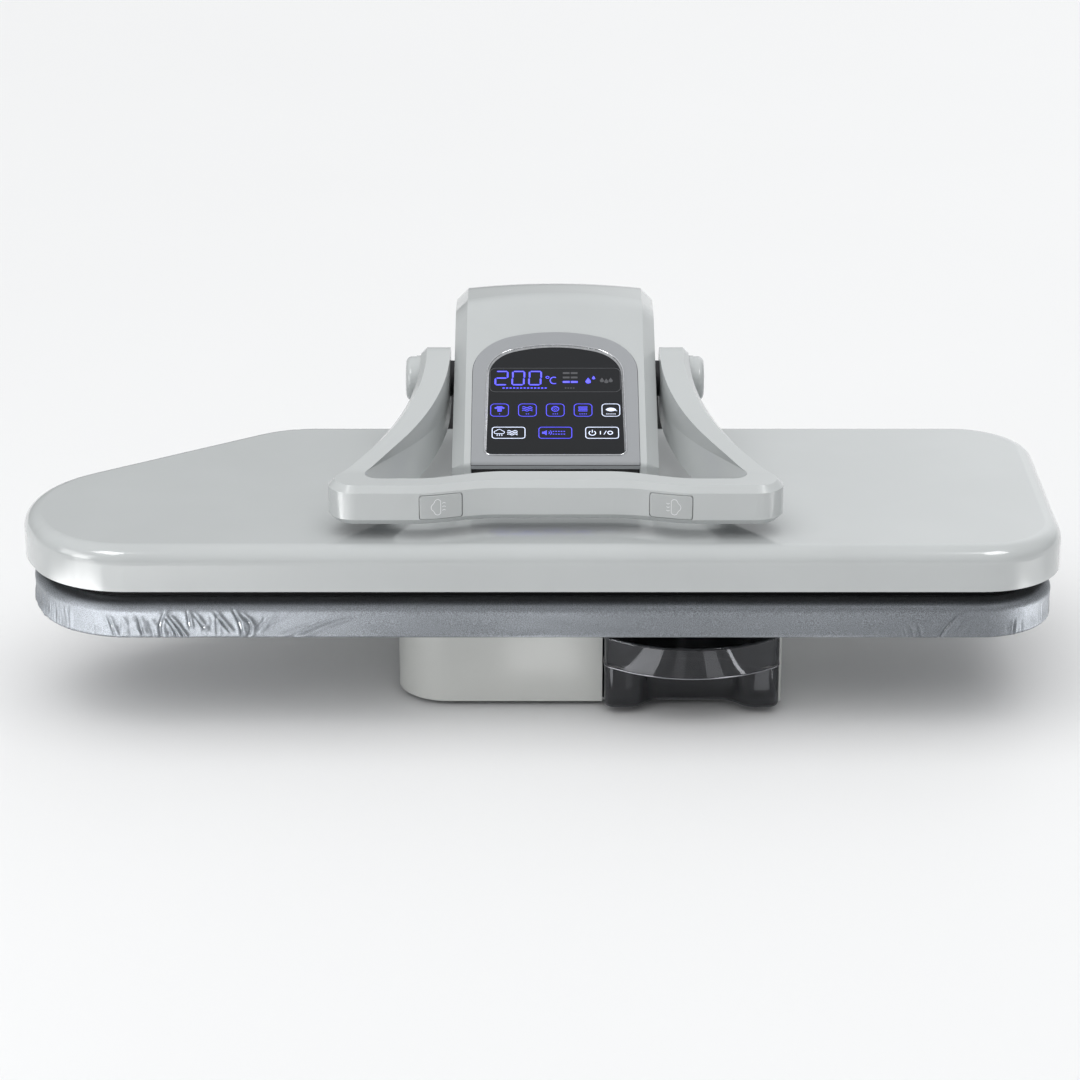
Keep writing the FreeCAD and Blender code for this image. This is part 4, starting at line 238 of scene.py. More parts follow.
def silver_cloth(name, colour):
    """Aluminised cotton: a fine plain weave, coarse glinting grains and soft wear."""
    finish = Finish(name, Sheen_Weight=0.15, Sheen_Roughness=0.4)
    where = finish.place()
    threads = {"Vector": where, "Scale": 420.0, "Distortion": 1.2, "Detail": 2.0}
    across, along = (finish.add("ShaderNodeTexWave", threads, "Fac", bands_direction=axis) for axis in "XY")
    glitter = finish.grain(1500, 2, 0.75, where)
    wear = finish.grain(14, 4, 0.6, where)
    crumple = finish.grain(55, 3, 0.55, where)
    cloth = finish.blend(glitter.ramp(0.34, 0.66), toned(colour, 0.62), toned(colour, 1.5))
    finish.set(Base_Color=finish.blend(wear.ramp(0.3, 0.8) * 0.6, cloth, colour),
               Metallic=glitter * 0.3 + 0.55, Roughness=wear * 0.1 + 0.46)
    finish.bump((across + along) * 0.06 + glitter * 0.16 + crumple * 0.5, 0.3, 0.8 * MM)


def foam(name):
    """Open-celled foam."""
    finish = Finish(name, Roughness=0.9)
    cells = finish.add("ShaderNodeTexVoronoi", {"Vector": finish.place(), "Scale": 700.0}, "Distance")
    finish.set(Base_Color=finish.blend(cells.ramp(0.1, 0.6), (0.45, 0.43, 0.33), (0.72, 0.70, 0.60)))
    finish.bump(cells, 0.5, 0.4 * MM)


def circuit(name):
    """Green solder mask with the raised pattern of tracks under it."""
    finish = Finish(name, Coat_Weight=0.4)
    tracks = {"Vector": finish.place(), "Scale": 130.0, "Mortar Size": 0.03, "Color1": (0.01, 0.10, 0.04, 1),
              "Color2": (0.015, 0.13, 0.05, 1), "Mortar": (0.05, 0.24, 0.10, 1)}
    finish.set(Base_Color=finish.add("ShaderNodeTexBrick", tracks, "Color", offset=0.35, squash=1.4),
               Roughness=finish.grain(80, 2) * 0.2 + 0.25)
    finish.bump(finish.grain(400, 2), 0.1, 0.1 * MM)


def glow(name, colour, strength):
    """Lit print behind the lens, slightly uneven where the diodes sit."""
    finish = Finish(name, Base_Color=(*colour, 1), Roughness=0.4, Emission_Strength=strength)
    finish.set(Emission_Color=finish.blend(finish.grain(160, 1).ramp(0.3, 0.7), toned(colour, 0.8), colour))


def make_finishes(look):
    """All materials of the press, from the user's colours."""
    white = tuple(look.shell_colour)
    lit = tuple(look.display_colour)
    moulded("gloss_white", white, 0.13, 0.06, Coat_Weight=0.6, Coat_Roughness=0.03)
    moulded("satin_white", white, 0.24, 0.08, Coat_Weight=0.3, Coat_Roughness=0.1)
    moulded("button_white", toned(white, 0.9), 0.3)
    # The base, lighter than the shells: its own warm tone plus painted light for the shade under the board
    moulded("base_white", tuple(look.base_colour_and_light), 0.3, Coat_Weight=0.2, Coat_Roughness=0.15)
    moulded("panel_grey", (0.33, 0.34, 0.355), 0.32)
    textured("matt_black", (0.018, 0.018, 0.02))
    # The heat shield's own black, deepened below any plastic's and with its gloss cut: painted shade for the dark gap
    # under the head
    textured("shield_black", (0.004, 0.004, 0.005), 0.7, Specular_IOR_Level=0.1)
    textured("filter_grey", (0.35, 0.36, 0.37))
    # Near black for painted shade: the crosses in the screw recesses and the line along the gap round the bezel
    textured("recess_black", (0.012, 0.012, 0.013), 0.6, 1500)
    clear_plastic("smoke_tank", (0.48, 0.475, 0.485))
    metal("rim_gloss", (0.30, 0.30, 0.32), 0.1, scale=200, strength=0.03)
    moulded("lens_black", (0.012, 0.013, 0.015), 0.22, 0.04, Specular_IOR_Level=0.3)
    metal("chrome", (0.86, 0.87, 0.89), 0.06, scale=300, strength=0.03)
    metal("sheet_steel", (0.50, 0.51, 0.52), 0.32, (1, 12, 12))
    metal("screw_steel", (0.62, 0.62, 0.63), 0.24)
    metal("cast_alloy", (0.62, 0.63, 0.64), 0.38, scale=260, strength=0.35)
    metal("bronze", (0.55, 0.36, 0.14), 0.35)
    # Black rubber: the feet's own colour, and painted shade where it covers the column gasket
    rubbery("rubber", (0.02, 0.02, 0.021))
    rubbery("milky_silicone", (0.55, 0.55, 0.52), 0.45)
    silver_cloth("silver_cloth", tuple(look.cloth_colour))
    rubbery("hem_thread", (0.30, 0.31, 0.33), 0.8)
    foam("open_foam")
    circuit("green_circuit")
    glow("blue_light", lit, look.display_power)
    glow("soft_blue_light", lit, look.display_power * 0.5)
    glow("white_light", (0.62, 0.68, 0.85), 0.85)
    moulded("dim_print", (0.085, 0.087, 0.095), 0.4)
    moulded("print_white", (0.80, 0.81, 0.82), 0.45)


# Which parts of the frame wear which finish

FINISH_PARTS = {
    "base_white": "base_shell tank_bay hinge_tower",
    "sheet_steel": "base_plate board_posts board_tray hinge_bracket arm_frame",
    "screw_steel": "base_screws board_screws bracket_screws hinge_axle axle_clips lift_springs shield_screws "
                   "heating_element thermostat plate_studs frame_screws rear_cover_screws handle_shaft shaft_screws",
    "matt_black": "hinge_cheek_left hinge_cheek_right tank_dock pump cord_gland tank_valve pivot_spacers "
                  "micro_switches",
    # column_gasket wears the black rubber as painted shade: a dark strip for the shadowed gap under the panel
    "rubber": "rubber_feet column_gasket",
    "milky_silicone": "pump_hose water_hose tank_seal",
    "green_circuit": "power_board display_board",
    "smoke_tank": "tank_body tank_lid tank_cap",
    "filter_grey": "scale_filter handle_underside",
    "gloss_white": "head_cover arm_housing",
    "satin_white": "arm_rear_cover handle_frame pivot_cap_left pivot_cap_right",
    "button_white": "steam_button_left steam_button_right",
    "shield_black": "heat_shield",
    "cast_alloy": "heating_plate steam_chamber",
    "bronze": "hinge_bushes",
    "panel_grey": "panel_bezel",
    "chrome": "lens_trim",
    "lens_black": "display_lens",
}


# Meshes

def new_object(name, data):
    """An object at the origin, in the scene."""
    made = bpy.data.objects.new(name, data)
    bpy.context.scene.collection.objects.link(made)
    return made


def new_piece(name, vertices, faces, finish, smooth=False):
    """A mesh object of one finish."""
    mesh = bpy.data.meshes.new(name)
    mesh.from_pydata([tuple(v) for v in vertices], [], faces)
    mesh.update()
    mesh.materials.append(bpy.data.materials[finish])
    if smooth:
        mesh.shade_smooth()
    return new_object(name, mesh)


def ring_edges(size):
    """The edges that join so many points in a ring."""
    return [(i, (i + 1) % size) for i in range(size)]


def ring_faces(rings, size):
    """The quads of a wall of so many rings, each of so many points."""
    return [(start + i, start + size + i, start + size + j, start + j)
            for start in range(0, (rings - 1) * size, size) for i, j in ring_edges(size)]


def surface_of(mesh):
    """A mesh's surface, for rays."""
    return BVHTree.FromPolygons([v.co.copy() for v in mesh.vertices], [tuple(p.vertices) for p in mesh.polygons])


def recalculate_normals(piece):
    """Joins doubled points and turns all faces outward."""
    mesh = bmesh.new()
    mesh.from_mesh(piece.data)
    bmesh.ops.remove_doubles(mesh, verts=mesh.verts, dist=1e-7)
    bmesh.ops.recalc_face_normals(mesh, faces=mesh.faces)
    mesh.to_mesh(piece.data)
    mesh.free()


def apply_modifiers(piece):
    """Makes a piece's modifiers part of its mesh."""
    evaluated = piece.evaluated_get(bpy.context.evaluated_depsgraph_get())
    mesh = bpy.data.meshes.new_from_object(evaluated)
    piece.modifiers.clear()
    piece.data = mesh


# The press outline, as in the CAD: the hull of five circles

PRESS_CIRCLES = [
    (0.3461, -0.1411, 0.0689),
    (0.3506, 0.0256, 0.0644),
    (-0.1927, 0.0057, 0.0843),
    (-0.3120, -0.1071, 0.1030),
    (-0.3242, -0.1258, 0.0842),
]


def press_outline(step):
    """Points round the outline about a step apart, each with its outward normal and distance run."""
    pairs = ring_edges(len(PRESS_CIRCLES))
    normals = []
    for i, j in pairs:
        (x0, y0, r0), (x1, y1, r1) = PRESS_CIRCLES[i], PRESS_CIRCLES[j]
        ahead = Vector((x1 - x0, y1 - y0))
        tilt = math.asin((r0 - r1) / ahead.length)
        ahead.normalize()
        normals.append(Vector((ahead.y, -ahead.x)) * math.cos(tilt) + ahead * math.sin(tilt))
    rows, run = [], 0.0
    for i, j in pairs:
        (x, y, r), (x1, y1, r1) = PRESS_CIRCLES[i], PRESS_CIRCLES[j]
        centre = Vector((x, y))
        start = math.atan2(normals[i - 1].y, normals[i - 1].x)
        end = math.atan2(normals[i].y, normals[i].x)
        if end < start:
            end += 2 * math.pi
        parts = max(2, round(r * (end - start) / step))
        for k in range(parts):
            angle = start + (end - start) * k / parts
            normal = Vector((math.cos(angle), math.sin(angle)))
            rows.append((centre + normal * r, normal, run + r * (angle - start)))
        run += r * (end - start)
        first = centre + normals[i] * r
        last = Vector((x1, y1)) + normals[i] * r1
        length = (last - first).length
        parts = max(1, round(length / step))
        for k in range(parts):
            rows.append((first.lerp(last, k / parts), normals[i], run + length * k / parts))
        run += length
    return rows, run


# Geometry Nodes

class Growth(Nodes):
    """A node tree that grows small shapes along a mesh's edges or on its vertices."""

    def __init__(self, name, sizes):
        super().__init__(bpy.data.node_groups.new(name, "GeometryNodeTree"))
        for way in ("INPUT", "OUTPUT"):
            self.tree.interface.new_socket("Geometry", in_out=way, socket_type="NodeSocketGeometry")
        self.sizes = {}
        for size, value in sizes.items():
            socket = self.tree.interface.new_socket(size, in_out="INPUT", socket_type="NodeSocketFloat")
            self.sizes[socket.identifier] = value
        self.entry = self.tree.nodes.new("NodeGroupInput")

    def given(self, name):
        """One of the tree's inputs."""
        return Socket(self, self.entry.outputs[name])

    def grow(self, points, shape, facing, finish):
        """Puts the shape on every point, its Z turned to facing, and ends the tree."""
        turn = self.add("FunctionNodeAlignRotationToVector", {"Vector": facing}, axis="Z")
        grown = {"Points": points, "Instance": shape, "Rotation": turn}
        self.end(self.add("GeometryNodeInstanceOnPoints", grown, "Instances"), finish)

    def end(self, shapes, finish):
        """Ends the tree in plain geometry of one finish."""
        solid = self.add("GeometryNodeRealizeInstances", {"Geometry": shapes})
        dressed = self.add("GeometryNodeSetMaterial", {"Geometry": solid, "Material": bpy.data.materials[finish]})
        self.feed(self.tree.nodes.new("NodeGroupOutput").inputs[0], dressed)

    def piece(self, name, vertices, edges):
        """The grown shapes as a plain mesh of its own."""
        mesh = bpy.data.meshes.new(name)
        mesh.from_pydata([tuple(v) for v in vertices], edges, [])
        piece = new_object(name, mesh)
        grown = piece.modifiers.new("grown", "NODES")
        grown.node_group = self.tree
        for identifier, value in self.sizes.items():
            grown[identifier] = value
        apply_modifiers(piece)
        if not piece.data.polygons:
            raise RuntimeError(name + " came out empty")
        return piece


THREAD_RADIUS = 0.32 * MM
RECESS_SPAN = 3.4 * MM
RECESS_DEPTH = 0.3 * MM


def stitch_growth(look):
    """Short six-sided threads along a path."""
    growth = Growth("stitches", {"Length": look.stitch_length, "Gap": look.stitch_gap, "Thread": THREAD_RADIUS})
    curve = growth.add("GeometryNodeMeshToCurve", {"Mesh": growth.given("Geometry")})
    pitch = growth.given("Length") + growth.given("Gap")
    even = growth.add("GeometryNodeResampleCurve", {"Curve": curve, "Length": pitch}, mode="LENGTH")
    size = {"Vertices": 6, "Radius": growth.given("Thread"), "Depth": growth.given("Length")}
    thread = growth.add("GeometryNodeMeshCylinder", size, "Mesh")
    growth.grow(even, thread, growth.add("GeometryNodeInputTangent"), "hem_thread")
    return growth


def bead_growth(name, radius, finish):
    """A round bead along a path."""
    growth = Growth(name, {"Radius": radius})
    curve = growth.add("GeometryNodeMeshToCurve", {"Mesh": growth.given("Geometry")})
    ring = growth.add("GeometryNodeCurvePrimitiveCircle", {"Resolution": 8, "Radius": growth.given("Radius")})
    bead = growth.add("GeometryNodeCurveToMesh", {"Curve": curve, "Profile Curve": ring})
    growth.end(growth.add("GeometryNodeSetShadeSmooth", {"Geometry": bead}), finish)
    return growth


def recess_growth(name, look, facing):
    """A dark cross of painted shade, standing for the shade in the recess of every screw head, facing one way."""
    growth = Growth(name, {"Width": look.recess_width, "Span": RECESS_SPAN, "Depth": RECESS_DEPTH})
    cross = growth.tree.nodes.new("GeometryNodeJoinGeometry")
    for x, y in (("Width", "Span"), ("Span", "Width")):
        size = growth.add("ShaderNodeCombineXYZ",
                          {"X": growth.given(x), "Y": growth.given(y), "Z": growth.given("Depth")})
        growth.feed(cross.inputs[0], growth.add("GeometryNodeMeshCube", {"Size": size}, "Mesh"))
    points = growth.add("GeometryNodeMeshToPoints", {"Mesh": growth.given("Geometry")})
    growth.grow(points, Socket(growth, cross.outputs[0]), facing, "recess_black")
    return growth


# The line along the board's middle on which the tops of the cover and the pad close

SPINE = (Vector((-0.30, -0.105)), Vector((0.33, -0.06)))
SPINE_PARTS = 60


def toward_spine(point, share):
    """A point moved toward the spine. On the spine, the points of both sides fall together."""
    start, end = SPINE
    along = end - start
    t = max(0.0, min(1.0, (point - start).dot(along) / along.length_squared))
    if share == 1.0:
        t = round(t * SPINE_PARTS) / SPINE_PARTS
    return point.lerp(start + along * t, share)


def uneven(x, y):
    """Smooth noise between -1 and 1."""
    return noise.noise(Vector((x, y, 0)))


def roll(inset, middle, radius, start, end, parts):
    """(inset, height, outward, upward) at even angles round a rolled edge."""
    rows = []
    for i in range(parts + 1):
        angle = math.radians(start + (end - start) * i / parts)
        out, up = math.cos(angle), math.sin(angle)
        rows.append((inset + radius * (1 - out), middle + radius * up, out, up))
    return rows


# Cover: its profile from the middle of the top, over the rolled edge and down to the hem

COVER_STEP = 0.65 * MM
COVER_TOP = 110.3 * MM
COVER_BOTTOM = 80.7 * MM
COVER_INSET = 6.3 * MM
COVER_ROLL = 8 * MM
COVER_CAPS = (1.0, 0.88, 0.7, 0.5, 0.3, 0.12)
HEM_RADIUS = 2.5 * MM
HEM_WIDTH = 24 * MM
CREASE_LIMITS = (-2.2 * MM, 2.6 * MM)
FRONT_Y = -0.21


def crease_lift(crease, run, drop, total):
    """The bulge of one fold at a place along the outline and down the side: a sharp valley between a full lip on
    its right and a weaker one on its left."""
    start, end, low, high, width, height, bow = crease
    if drop < low - 0.12 or drop > high + 0.12:
        return 0.0
    share = (drop - low) / (high - low)
    place = start + (end - start) * share + bow * 4 * share * (1 - share)
    away = ((run - place + total / 2) % total - total / 2) / width
    if abs(away) > 4:
        return 0.0
    window = smooth(low - 0.1, low + 0.12, drop) * (1 - smooth(high - 0.1, high + 0.12, drop))
    valley = 0.9 * math.exp(-(away / 0.55) ** 2)
    lips = 0.95 * math.exp(-((away - 1.5) / 1.1) ** 2) + 0.5 * math.exp(-((away + 1.5) / 1.0) ** 2)
    return 0.72 * height * (lips - valley) * window


def smooth(low, high, value):
    """Rises from 0 at low to 1 at high."""
    t = max(0.0, min(1.0, (value - low) / (high - low)))
    return t * t * (3 - 2 * t)


def run_at(rows, x, y):
    """Distance along the outline of the point nearest to x, y."""
    target = Vector((x, y))
    return min(rows, key=lambda row: (row[0] - target).length_squared)[2]


# The folds of the front side, in millimetres: x at their upper and lower end, reach, width, height and bow

FRONT_FOLDS = [
    (-341.6, -334.6, 0.40, 1.0, 1.6, 1.6, 0), (-331, -332, 0.45, 0.85, 2.0, 0.7, 0),
    (-323, -321.8, 0.45, 0.95, 2.4, 1.0, 0), (-316, -312, 0.42, 0.98, 1.8, 1.6, 0),
    (-307.4, -303.5, 0.5, 0.95, 2.2, 1.0, 0), (-295, -297.4, 0.3, 1.0, 1.8, 2.3, -2.3),
    (-295, -284.8, 0.38, 1.0, 1.4, 1.8, 1), (-291, -279.4, 0.4, 1.0, 1.4, 1.9, 1),
    (-287.2, -277.4, 0.5, 1.0, 1.2, 1.4, 0), (-276.7, -275.5, 0.3, 0.68, 1.6, 2.2, 0),
    (-271.6, -262.3, 0.35, 0.78, 1.5, 1.7, 0), (-261.5, -265.4, 0.45, 0.8, 1.4, 1.0, 1),
    (-254.5, -244.4, 0.33, 0.78, 1.7, 2.1, 0), (-254.1, -253.7, 0.35, 0.85, 1.6, 1.3, 0),
    (-240.5, -234.2, 0.27, 0.88, 1.6, 2.3, 1.2), (-234.2, -230, 0.35, 0.92, 1.8, 2.1, 4.5),
    (-214, -225.7, 0.4, 0.82, 2.8, 1.4, 0), (-201.6, -217, 0.35, 0.6, 3.0, 0.8, 0),
    (-155.6, -198.4, 0.42, 1.0, 5.0, 1.3, -3), (287.2, 289.1, 0.78, 1.0, 1.2, 1.4, 0),
    (291.8, 294.2, 0.7, 0.95, 1.2, 1.3, 0), (296.5, 300.8, 0.6, 1.0, 1.4, 1.6, 0),
    (296.5, 281, 0.55, 0.66, 4.0, 1.0, 0), (296.5, 312, 0.53, 0.6, 4.0, 1.0, 0),
    (330, 313.6, 0.33, 1.0, 1.9, 2.2, -1), (335.8, 326.8, 0.42, 0.82, 1.9, 1.2, 0),
    (353, 339.7, 0.55, 1.0, 2.6, 1.1, 0), (380.6, 378.5, 0.62, 1.0, 1.3, 1.4, 0),
]

# Gathers round each tight corner: a point near it, how many, and their height

CORNER_GATHERS = [
    (-0.40, -0.16, 34, 1.2), (-0.41, -0.09, 38, 1.1), (-0.385, -0.03, 24, 0.8), (-0.24, 0.075, 18, 0.7),
    (0.39, 0.06, 30, 0.9), (0.40, -0.18, 7, 0.5), (0.41, -0.10, 7, 0.5),
]


FOLD_SEED = 11
NOSE_FOLDS = 26
SOFT_FOLDS = 40


def make_creases(rows, total):
    """The folds of the photograph, the gathers of the corners, fine ones at the nose and soft ones all round: start
    and end along the outline, low and high as shares of the side's height, width, height and bow."""
    chance = random.Random(FOLD_SEED)
    creases = []
    for upper, lower, low, high, *bulge in FRONT_FOLDS:
        ends = [run_at(rows, x * MM, FRONT_Y) for x in (upper, lower)]
        creases.append((*ends, low, high, *(size * MM for size in bulge)))
    for x, y, count, height in CORNER_GATHERS:
        middle = run_at(rows, x, y)
        for _ in range(count):
            place = middle + chance.gauss(0, 30 * MM)
            creases.append((place, place + chance.uniform(-2, 3) * MM, chance.uniform(0.3, 0.7),
                            chance.uniform(0.9, 1.1), chance.uniform(1.0, 2.2) * MM,
                            chance.uniform(0.3, 1) * height * MM, chance.uniform(-1, 1) * MM))
    for _ in range(NOSE_FOLDS):
        place = run_at(rows, chance.uniform(-0.34, -0.215), FRONT_Y)
        low = chance.uniform(0.3, 0.7)
        creases.append((place, place + chance.uniform(-5, 6) * MM, low, low + chance.uniform(0.2, 0.35),
                        chance.uniform(1.2, 2.4) * MM, chance.uniform(0.3, 0.7) * MM, 0.0))
    for _ in range(SOFT_FOLDS):
        place, low = chance.uniform(0, total), chance.uniform(0.2, 0.6)
        creases.append((place, place + chance.uniform(-10, 10) * MM, low, low + chance.uniform(0.3, 0.5),
                        chance.uniform(3, 6) * MM, chance.uniform(0.1, 0.35) * MM, 0.0))
    return creases


def spacing(point):
    """How many steps of the outline lie between two columns of the cover's mesh: few where it folds sharply."""
    if point.y < -0.17 and (point.x < -0.20 or point.x > 0.275):
        return 1
    if point.x < -0.33 or point.x > 0.36 or (point.y < -0.17 and point.x < -0.14):
        return 2
    return 8


def cover_profile():
    """(inset, height, outward, upward, drop) from the roll's top to the hem's end."""
    middle, low = COVER_TOP - COVER_ROLL, COVER_BOTTOM + HEM_RADIUS
    rows = [(*row, 0.02 + 0.28 * i / 10) for i, row in enumerate(roll(COVER_INSET, middle, COVER_ROLL, 90, 0, 10))]
    for t in (i / 15 for i in range(1, 15)):
        rows.append((COVER_INSET + 0.5 * MM * math.sin(math.pi * t), middle + (low - middle) * t,
                     1, 0, 0.3 + 0.6 * t))
    rows += [(*row, 0.9 + 0.1 * i / 5) for i, row in enumerate(roll(COVER_INSET, low, HEM_RADIUS, 0, -90, 5))]
    for t in (i / 8 for i in range(1, 9)):
        rows.append((COVER_INSET + HEM_RADIUS + (HEM_WIDTH - HEM_RADIUS) * t, COVER_BOTTOM + 0.3 * MM * t,
                     0, -1, 1 + 0.3 * t))
    return rows


def make_cover_mesh(folds):
    """The cover's outer side: the top closed along the spine, and the side with its folds."""
    rows, total = press_outline(COVER_STEP)
    creases = make_creases(rows, total)
    rows = [row for i, row in enumerate(rows) if i % spacing(row[0]) == 0]
    profile = cover_profile()
    vertices = []
    for share in COVER_CAPS:
        for point, normal, _ in rows:
            flat = toward_spine(point - normal * profile[0][0], share)
            dimple = uneven(flat.x * 14, flat.y * 14) * 0.25 * MM
            vertices.append((*flat, COVER_TOP - 0.25 * MM + dimple * (1 - share * 0.3)))
    for inset, height, outward, upward, drop in profile:
        for point, normal, run in rows:
            lift = sum(crease_lift(crease, run, drop, total) for crease in creases) * folds
            lift += uneven(run * 45, drop * 3) * 0.35 * MM * smooth(0.2, 0.5, drop)
            lift *= 1 - 0.75 * smooth(0.88, 0.98, drop) * (1 - smooth(1.0, 1.06, drop))
            if drop > 1:
                lift += uneven(run * 170, 5) * 1.1 * MM * (drop - 0.95)
            lift = max(CREASE_LIMITS[0], min(CREASE_LIMITS[1], lift))
            vertices.append((*(point - normal * (inset - outward * lift)), height + upward * lift * 0.6))
    faces = ring_faces(len(COVER_CAPS) + len(profile), len(rows))
    piece = new_piece("cover_cloth", vertices, faces, "silver_cloth", True)
    recalculate_normals(piece)
    return piece


class PRESS_OT_cover(bpy.types.Operator):
    """Cloth cover of the board, gathered at its corners and turned under at its hem"""
    bl_idname = "press.cover"
    bl_label = "Board cover"

    def execute(self, context):
        look = context.scene.press_look
        cover = make_cover_mesh(look.crease_height)
        shell = cover.modifiers.new("cloth", "SOLIDIFY")
        shell.thickness = look.cloth_thickness
        shell.offset = -1
        apply_modifiers(cover)
        cover.data.shade_smooth()
        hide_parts("board_cover")
        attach(cover, "base")
        return {"FINISHED"}


PAD_STEP = 6 * MM
PAD_TOP = 109.1 * MM
PAD_BOTTOM = 83.7 * MM
PAD_INSET = 10.5 * MM
PAD_ROLL = 9 * MM
PAD_CAPS = (1.0, 0.7, 0.45, 0.2)


class PRESS_OT_pad(bpy.types.Operator):
    """Foam pad between tray and cover, crowned and drawn in round its edge"""
    bl_idname = "press.pad"
    bl_label = "Board pad"

    def execute(self, context):
        rows, _ = press_outline(PAD_STEP)
        middle, low = PAD_TOP - PAD_ROLL, PAD_BOTTOM + 3 * MM
        profile = [row[:2] for row in roll(PAD_INSET, middle, PAD_ROLL, 90, 0, 8)]
        for t in (i / 6 for i in range(1, 7)):
            profile.append((PAD_INSET - 1 * MM * math.sin(math.pi * t), middle + (low - middle) * t))
        profile += [(PAD_INSET + 1 * MM, PAD_BOTTOM + 1 * MM), (PAD_INSET + 3.5 * MM, PAD_BOTTOM)]
        layers = [(profile[0][0], PAD_TOP - 0.3 * MM, share) for share in PAD_CAPS]
        layers += [(*row, 0.0) for row in profile]
        layers += [(profile[-1][0], PAD_BOTTOM, share) for share in reversed(PAD_CAPS)]
        vertices = [(*toward_spine(point - normal * inset, share), height)
                    for inset, height, share in layers for point, normal, _ in rows]
        pad = new_piece("foam_pad", vertices, ring_faces(len(layers), len(rows)), "open_foam", True)
        recalculate_normals(pad)
        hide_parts("board_pad")
        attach(pad, "base")
        return {"FINISHED"}


def front_frame(name):
    """A frame in millimetres on the front of a node: x to the right, y up, z out of it."""
    mesh = NODES[name].data
    facing = Vector((0, 0, 0))
    for face in mesh.polygons:
        if face.normal.y < -0.8:
            facing += face.normal * face.area
    out = facing.normalized()
    right = Vector((0, 0, 1)).cross(out).normalized()
    up = out.cross(right)
    low, high = (Vector(corner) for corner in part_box(name))
    middle = (low + high) / 2
    middle.y = low.y
    turn = Matrix((right, up, out)).transposed().to_4x4()
    return Matrix.Translation(middle) @ turn @ Matrix.Scale(MM, 4)


# Display: flat figures on the sloping lens. The draw functions take a Print and a place on it.

PANEL_FOOT = (12.5 * MM, -82 * MM, 187.5 * MM)
PANEL_SLOPE = math.radians(24.5)
FACE = Matrix.Translation(PANEL_FOOT) @ Matrix.Rotation(PANEL_SLOPE, 4, "X") @ Matrix.Scale(MM, 4)
PRINT_LIFT = -0.18
PRINT_DEPTH = 0.06


class Print:
    """Collects flat outlines in a frame in millimetres, at first the lens's own, as one mesh."""

    def __init__(self, where=FACE, lift=PRINT_LIFT, depth=PRINT_DEPTH):
        self.where, self.lift, self.depth = where, lift, depth
        self.vertices, self.faces = [], []

    def polygon(self, points):
        """A flat plate with this outline."""
        start, count = len(self.vertices), len(points)
        top = start + count
        for z in (self.lift, self.lift + self.depth):
            self.vertices += [self.where @ Vector((x, y, z)) for x, y in points]
        self.faces += [tuple(range(top, top + count)), tuple(range(top - 1, start - 1, -1))]
        self.faces += [(start + i, start + j, top + j, top + i) for i, j in ring_edges(count)]

    def line(self, points, width, closed=False):
        """A stroke of even width with mitred corners."""
        points = [Vector(p) for p in points]
        count = len(points)
        left, right = [], []
        for i, point in enumerate(points):
            before = points[i - 1] if i or closed else None
            after = points[(i + 1) % count] if i < count - 1 or closed else None
            sides = []
            for a, b in ((before, point), (point, after)):
                if a is not None and b is not None and (b - a).length > 1e-9:
                    along = (b - a).normalized()
                    sides.append(Vector((-along.y, along.x)))
            side = sum(sides, Vector((0, 0))).normalized()
            reach = width / 2 / max(0.5, side.dot(sides[0]))
            left.append(point + side * reach)
            right.append(point - side * reach)
        for i, j in ring_edges(count)[:count if closed else count - 1]:
            self.polygon([right[i], right[j], left[j], left[i]])

    def lay_on(self, node, height):
        """Drops the outlines along their own depth onto a node's surface, so that they stand out by height."""
        surface = surface_of(NODES[node].data)
        out = (self.where.to_3x3() @ Vector((0, 0, 1))).normalized()
        inward = self.where.inverted()
        for i, vertex in enumerate(self.vertices):
            raised = (inward @ vertex).z > self.lift + self.depth / 2
            hit = surface.ray_cast(vertex + out * 20 * MM, -out)[0]
            if hit:
                self.vertices[i] = hit + out * (height if raised else -height) * MM

    def piece(self, name, finish):
        made = new_piece(name, self.vertices, self.faces, finish)
        recalculate_normals(made)
        return made


def arc(x, y, radius, start, end, parts=10, squash=1.0):
    return [(x + radius * math.cos(math.radians(start + (end - start) * i / parts)),
             y + squash * radius * math.sin(math.radians(start + (end - start) * i / parts)))
            for i in range(parts + 1)]


def rounded_frame(x, y, half_x, half_y, radius):
    points = []
    for right, up, start in ((1, 1, 0), (-1, 1, 90), (-1, -1, 180), (1, -1, 270)):
        points += arc(x + right * (half_x - radius), y + up * (half_y - radius), radius, start, start + 90, 6)
    return points


def moved(points, x, y, size=1.0):
    return [(x + a * size, y + b * size) for a, b in points]


def bar(x, y, half_x, half_y):
    return moved([(-half_x, -half_y), (half_x, -half_y), (half_x, half_y), (-half_x, half_y)], x, y)


# The seven bars of a digit: middle as a share of its width and height, and whether it lies level

SEGMENTS = {
    "a": ((0.5, 1.0), True), "b": ((1.0, 0.75), False), "c": ((1.0, 0.25), False), "d": ((0.5, 0.0), True),
    "e": ((0.0, 0.25), False), "f": ((0.0, 0.75), False), "g": ((0.5, 0.5), True),
}
DIGITS = {"2": "abged", "0": "abcdef"}


def segment(x, y, length, thick, level):
    """One bar of a digit, pointed at both ends."""
    half, bevel = length / 2, thick / 2
    straight = half - bevel
    shape = [(-half, 0), (-straight, bevel), (straight, bevel), (half, 0), (straight, -bevel), (-straight, -bevel)]
    return moved(shape if level else [(b, a) for a, b in shape], x, y)


def draw_digits(lit, text, left, bottom, width, height, pitch, thick):
    """Slanted seven-bar digits."""
    for place, digit in enumerate(text):
        x0 = left + place * pitch
        for name, ((fx, fy), level) in SEGMENTS.items():
            if name not in DIGITS[digit]:
                continue
            length = width - 0.7 if level else height / 2 - 0.7
            slant = 0.06 * height * (fy - 0.5)
            lit.polygon(segment(x0 + fx * width + slant, bottom + fy * height, length, thick, level))


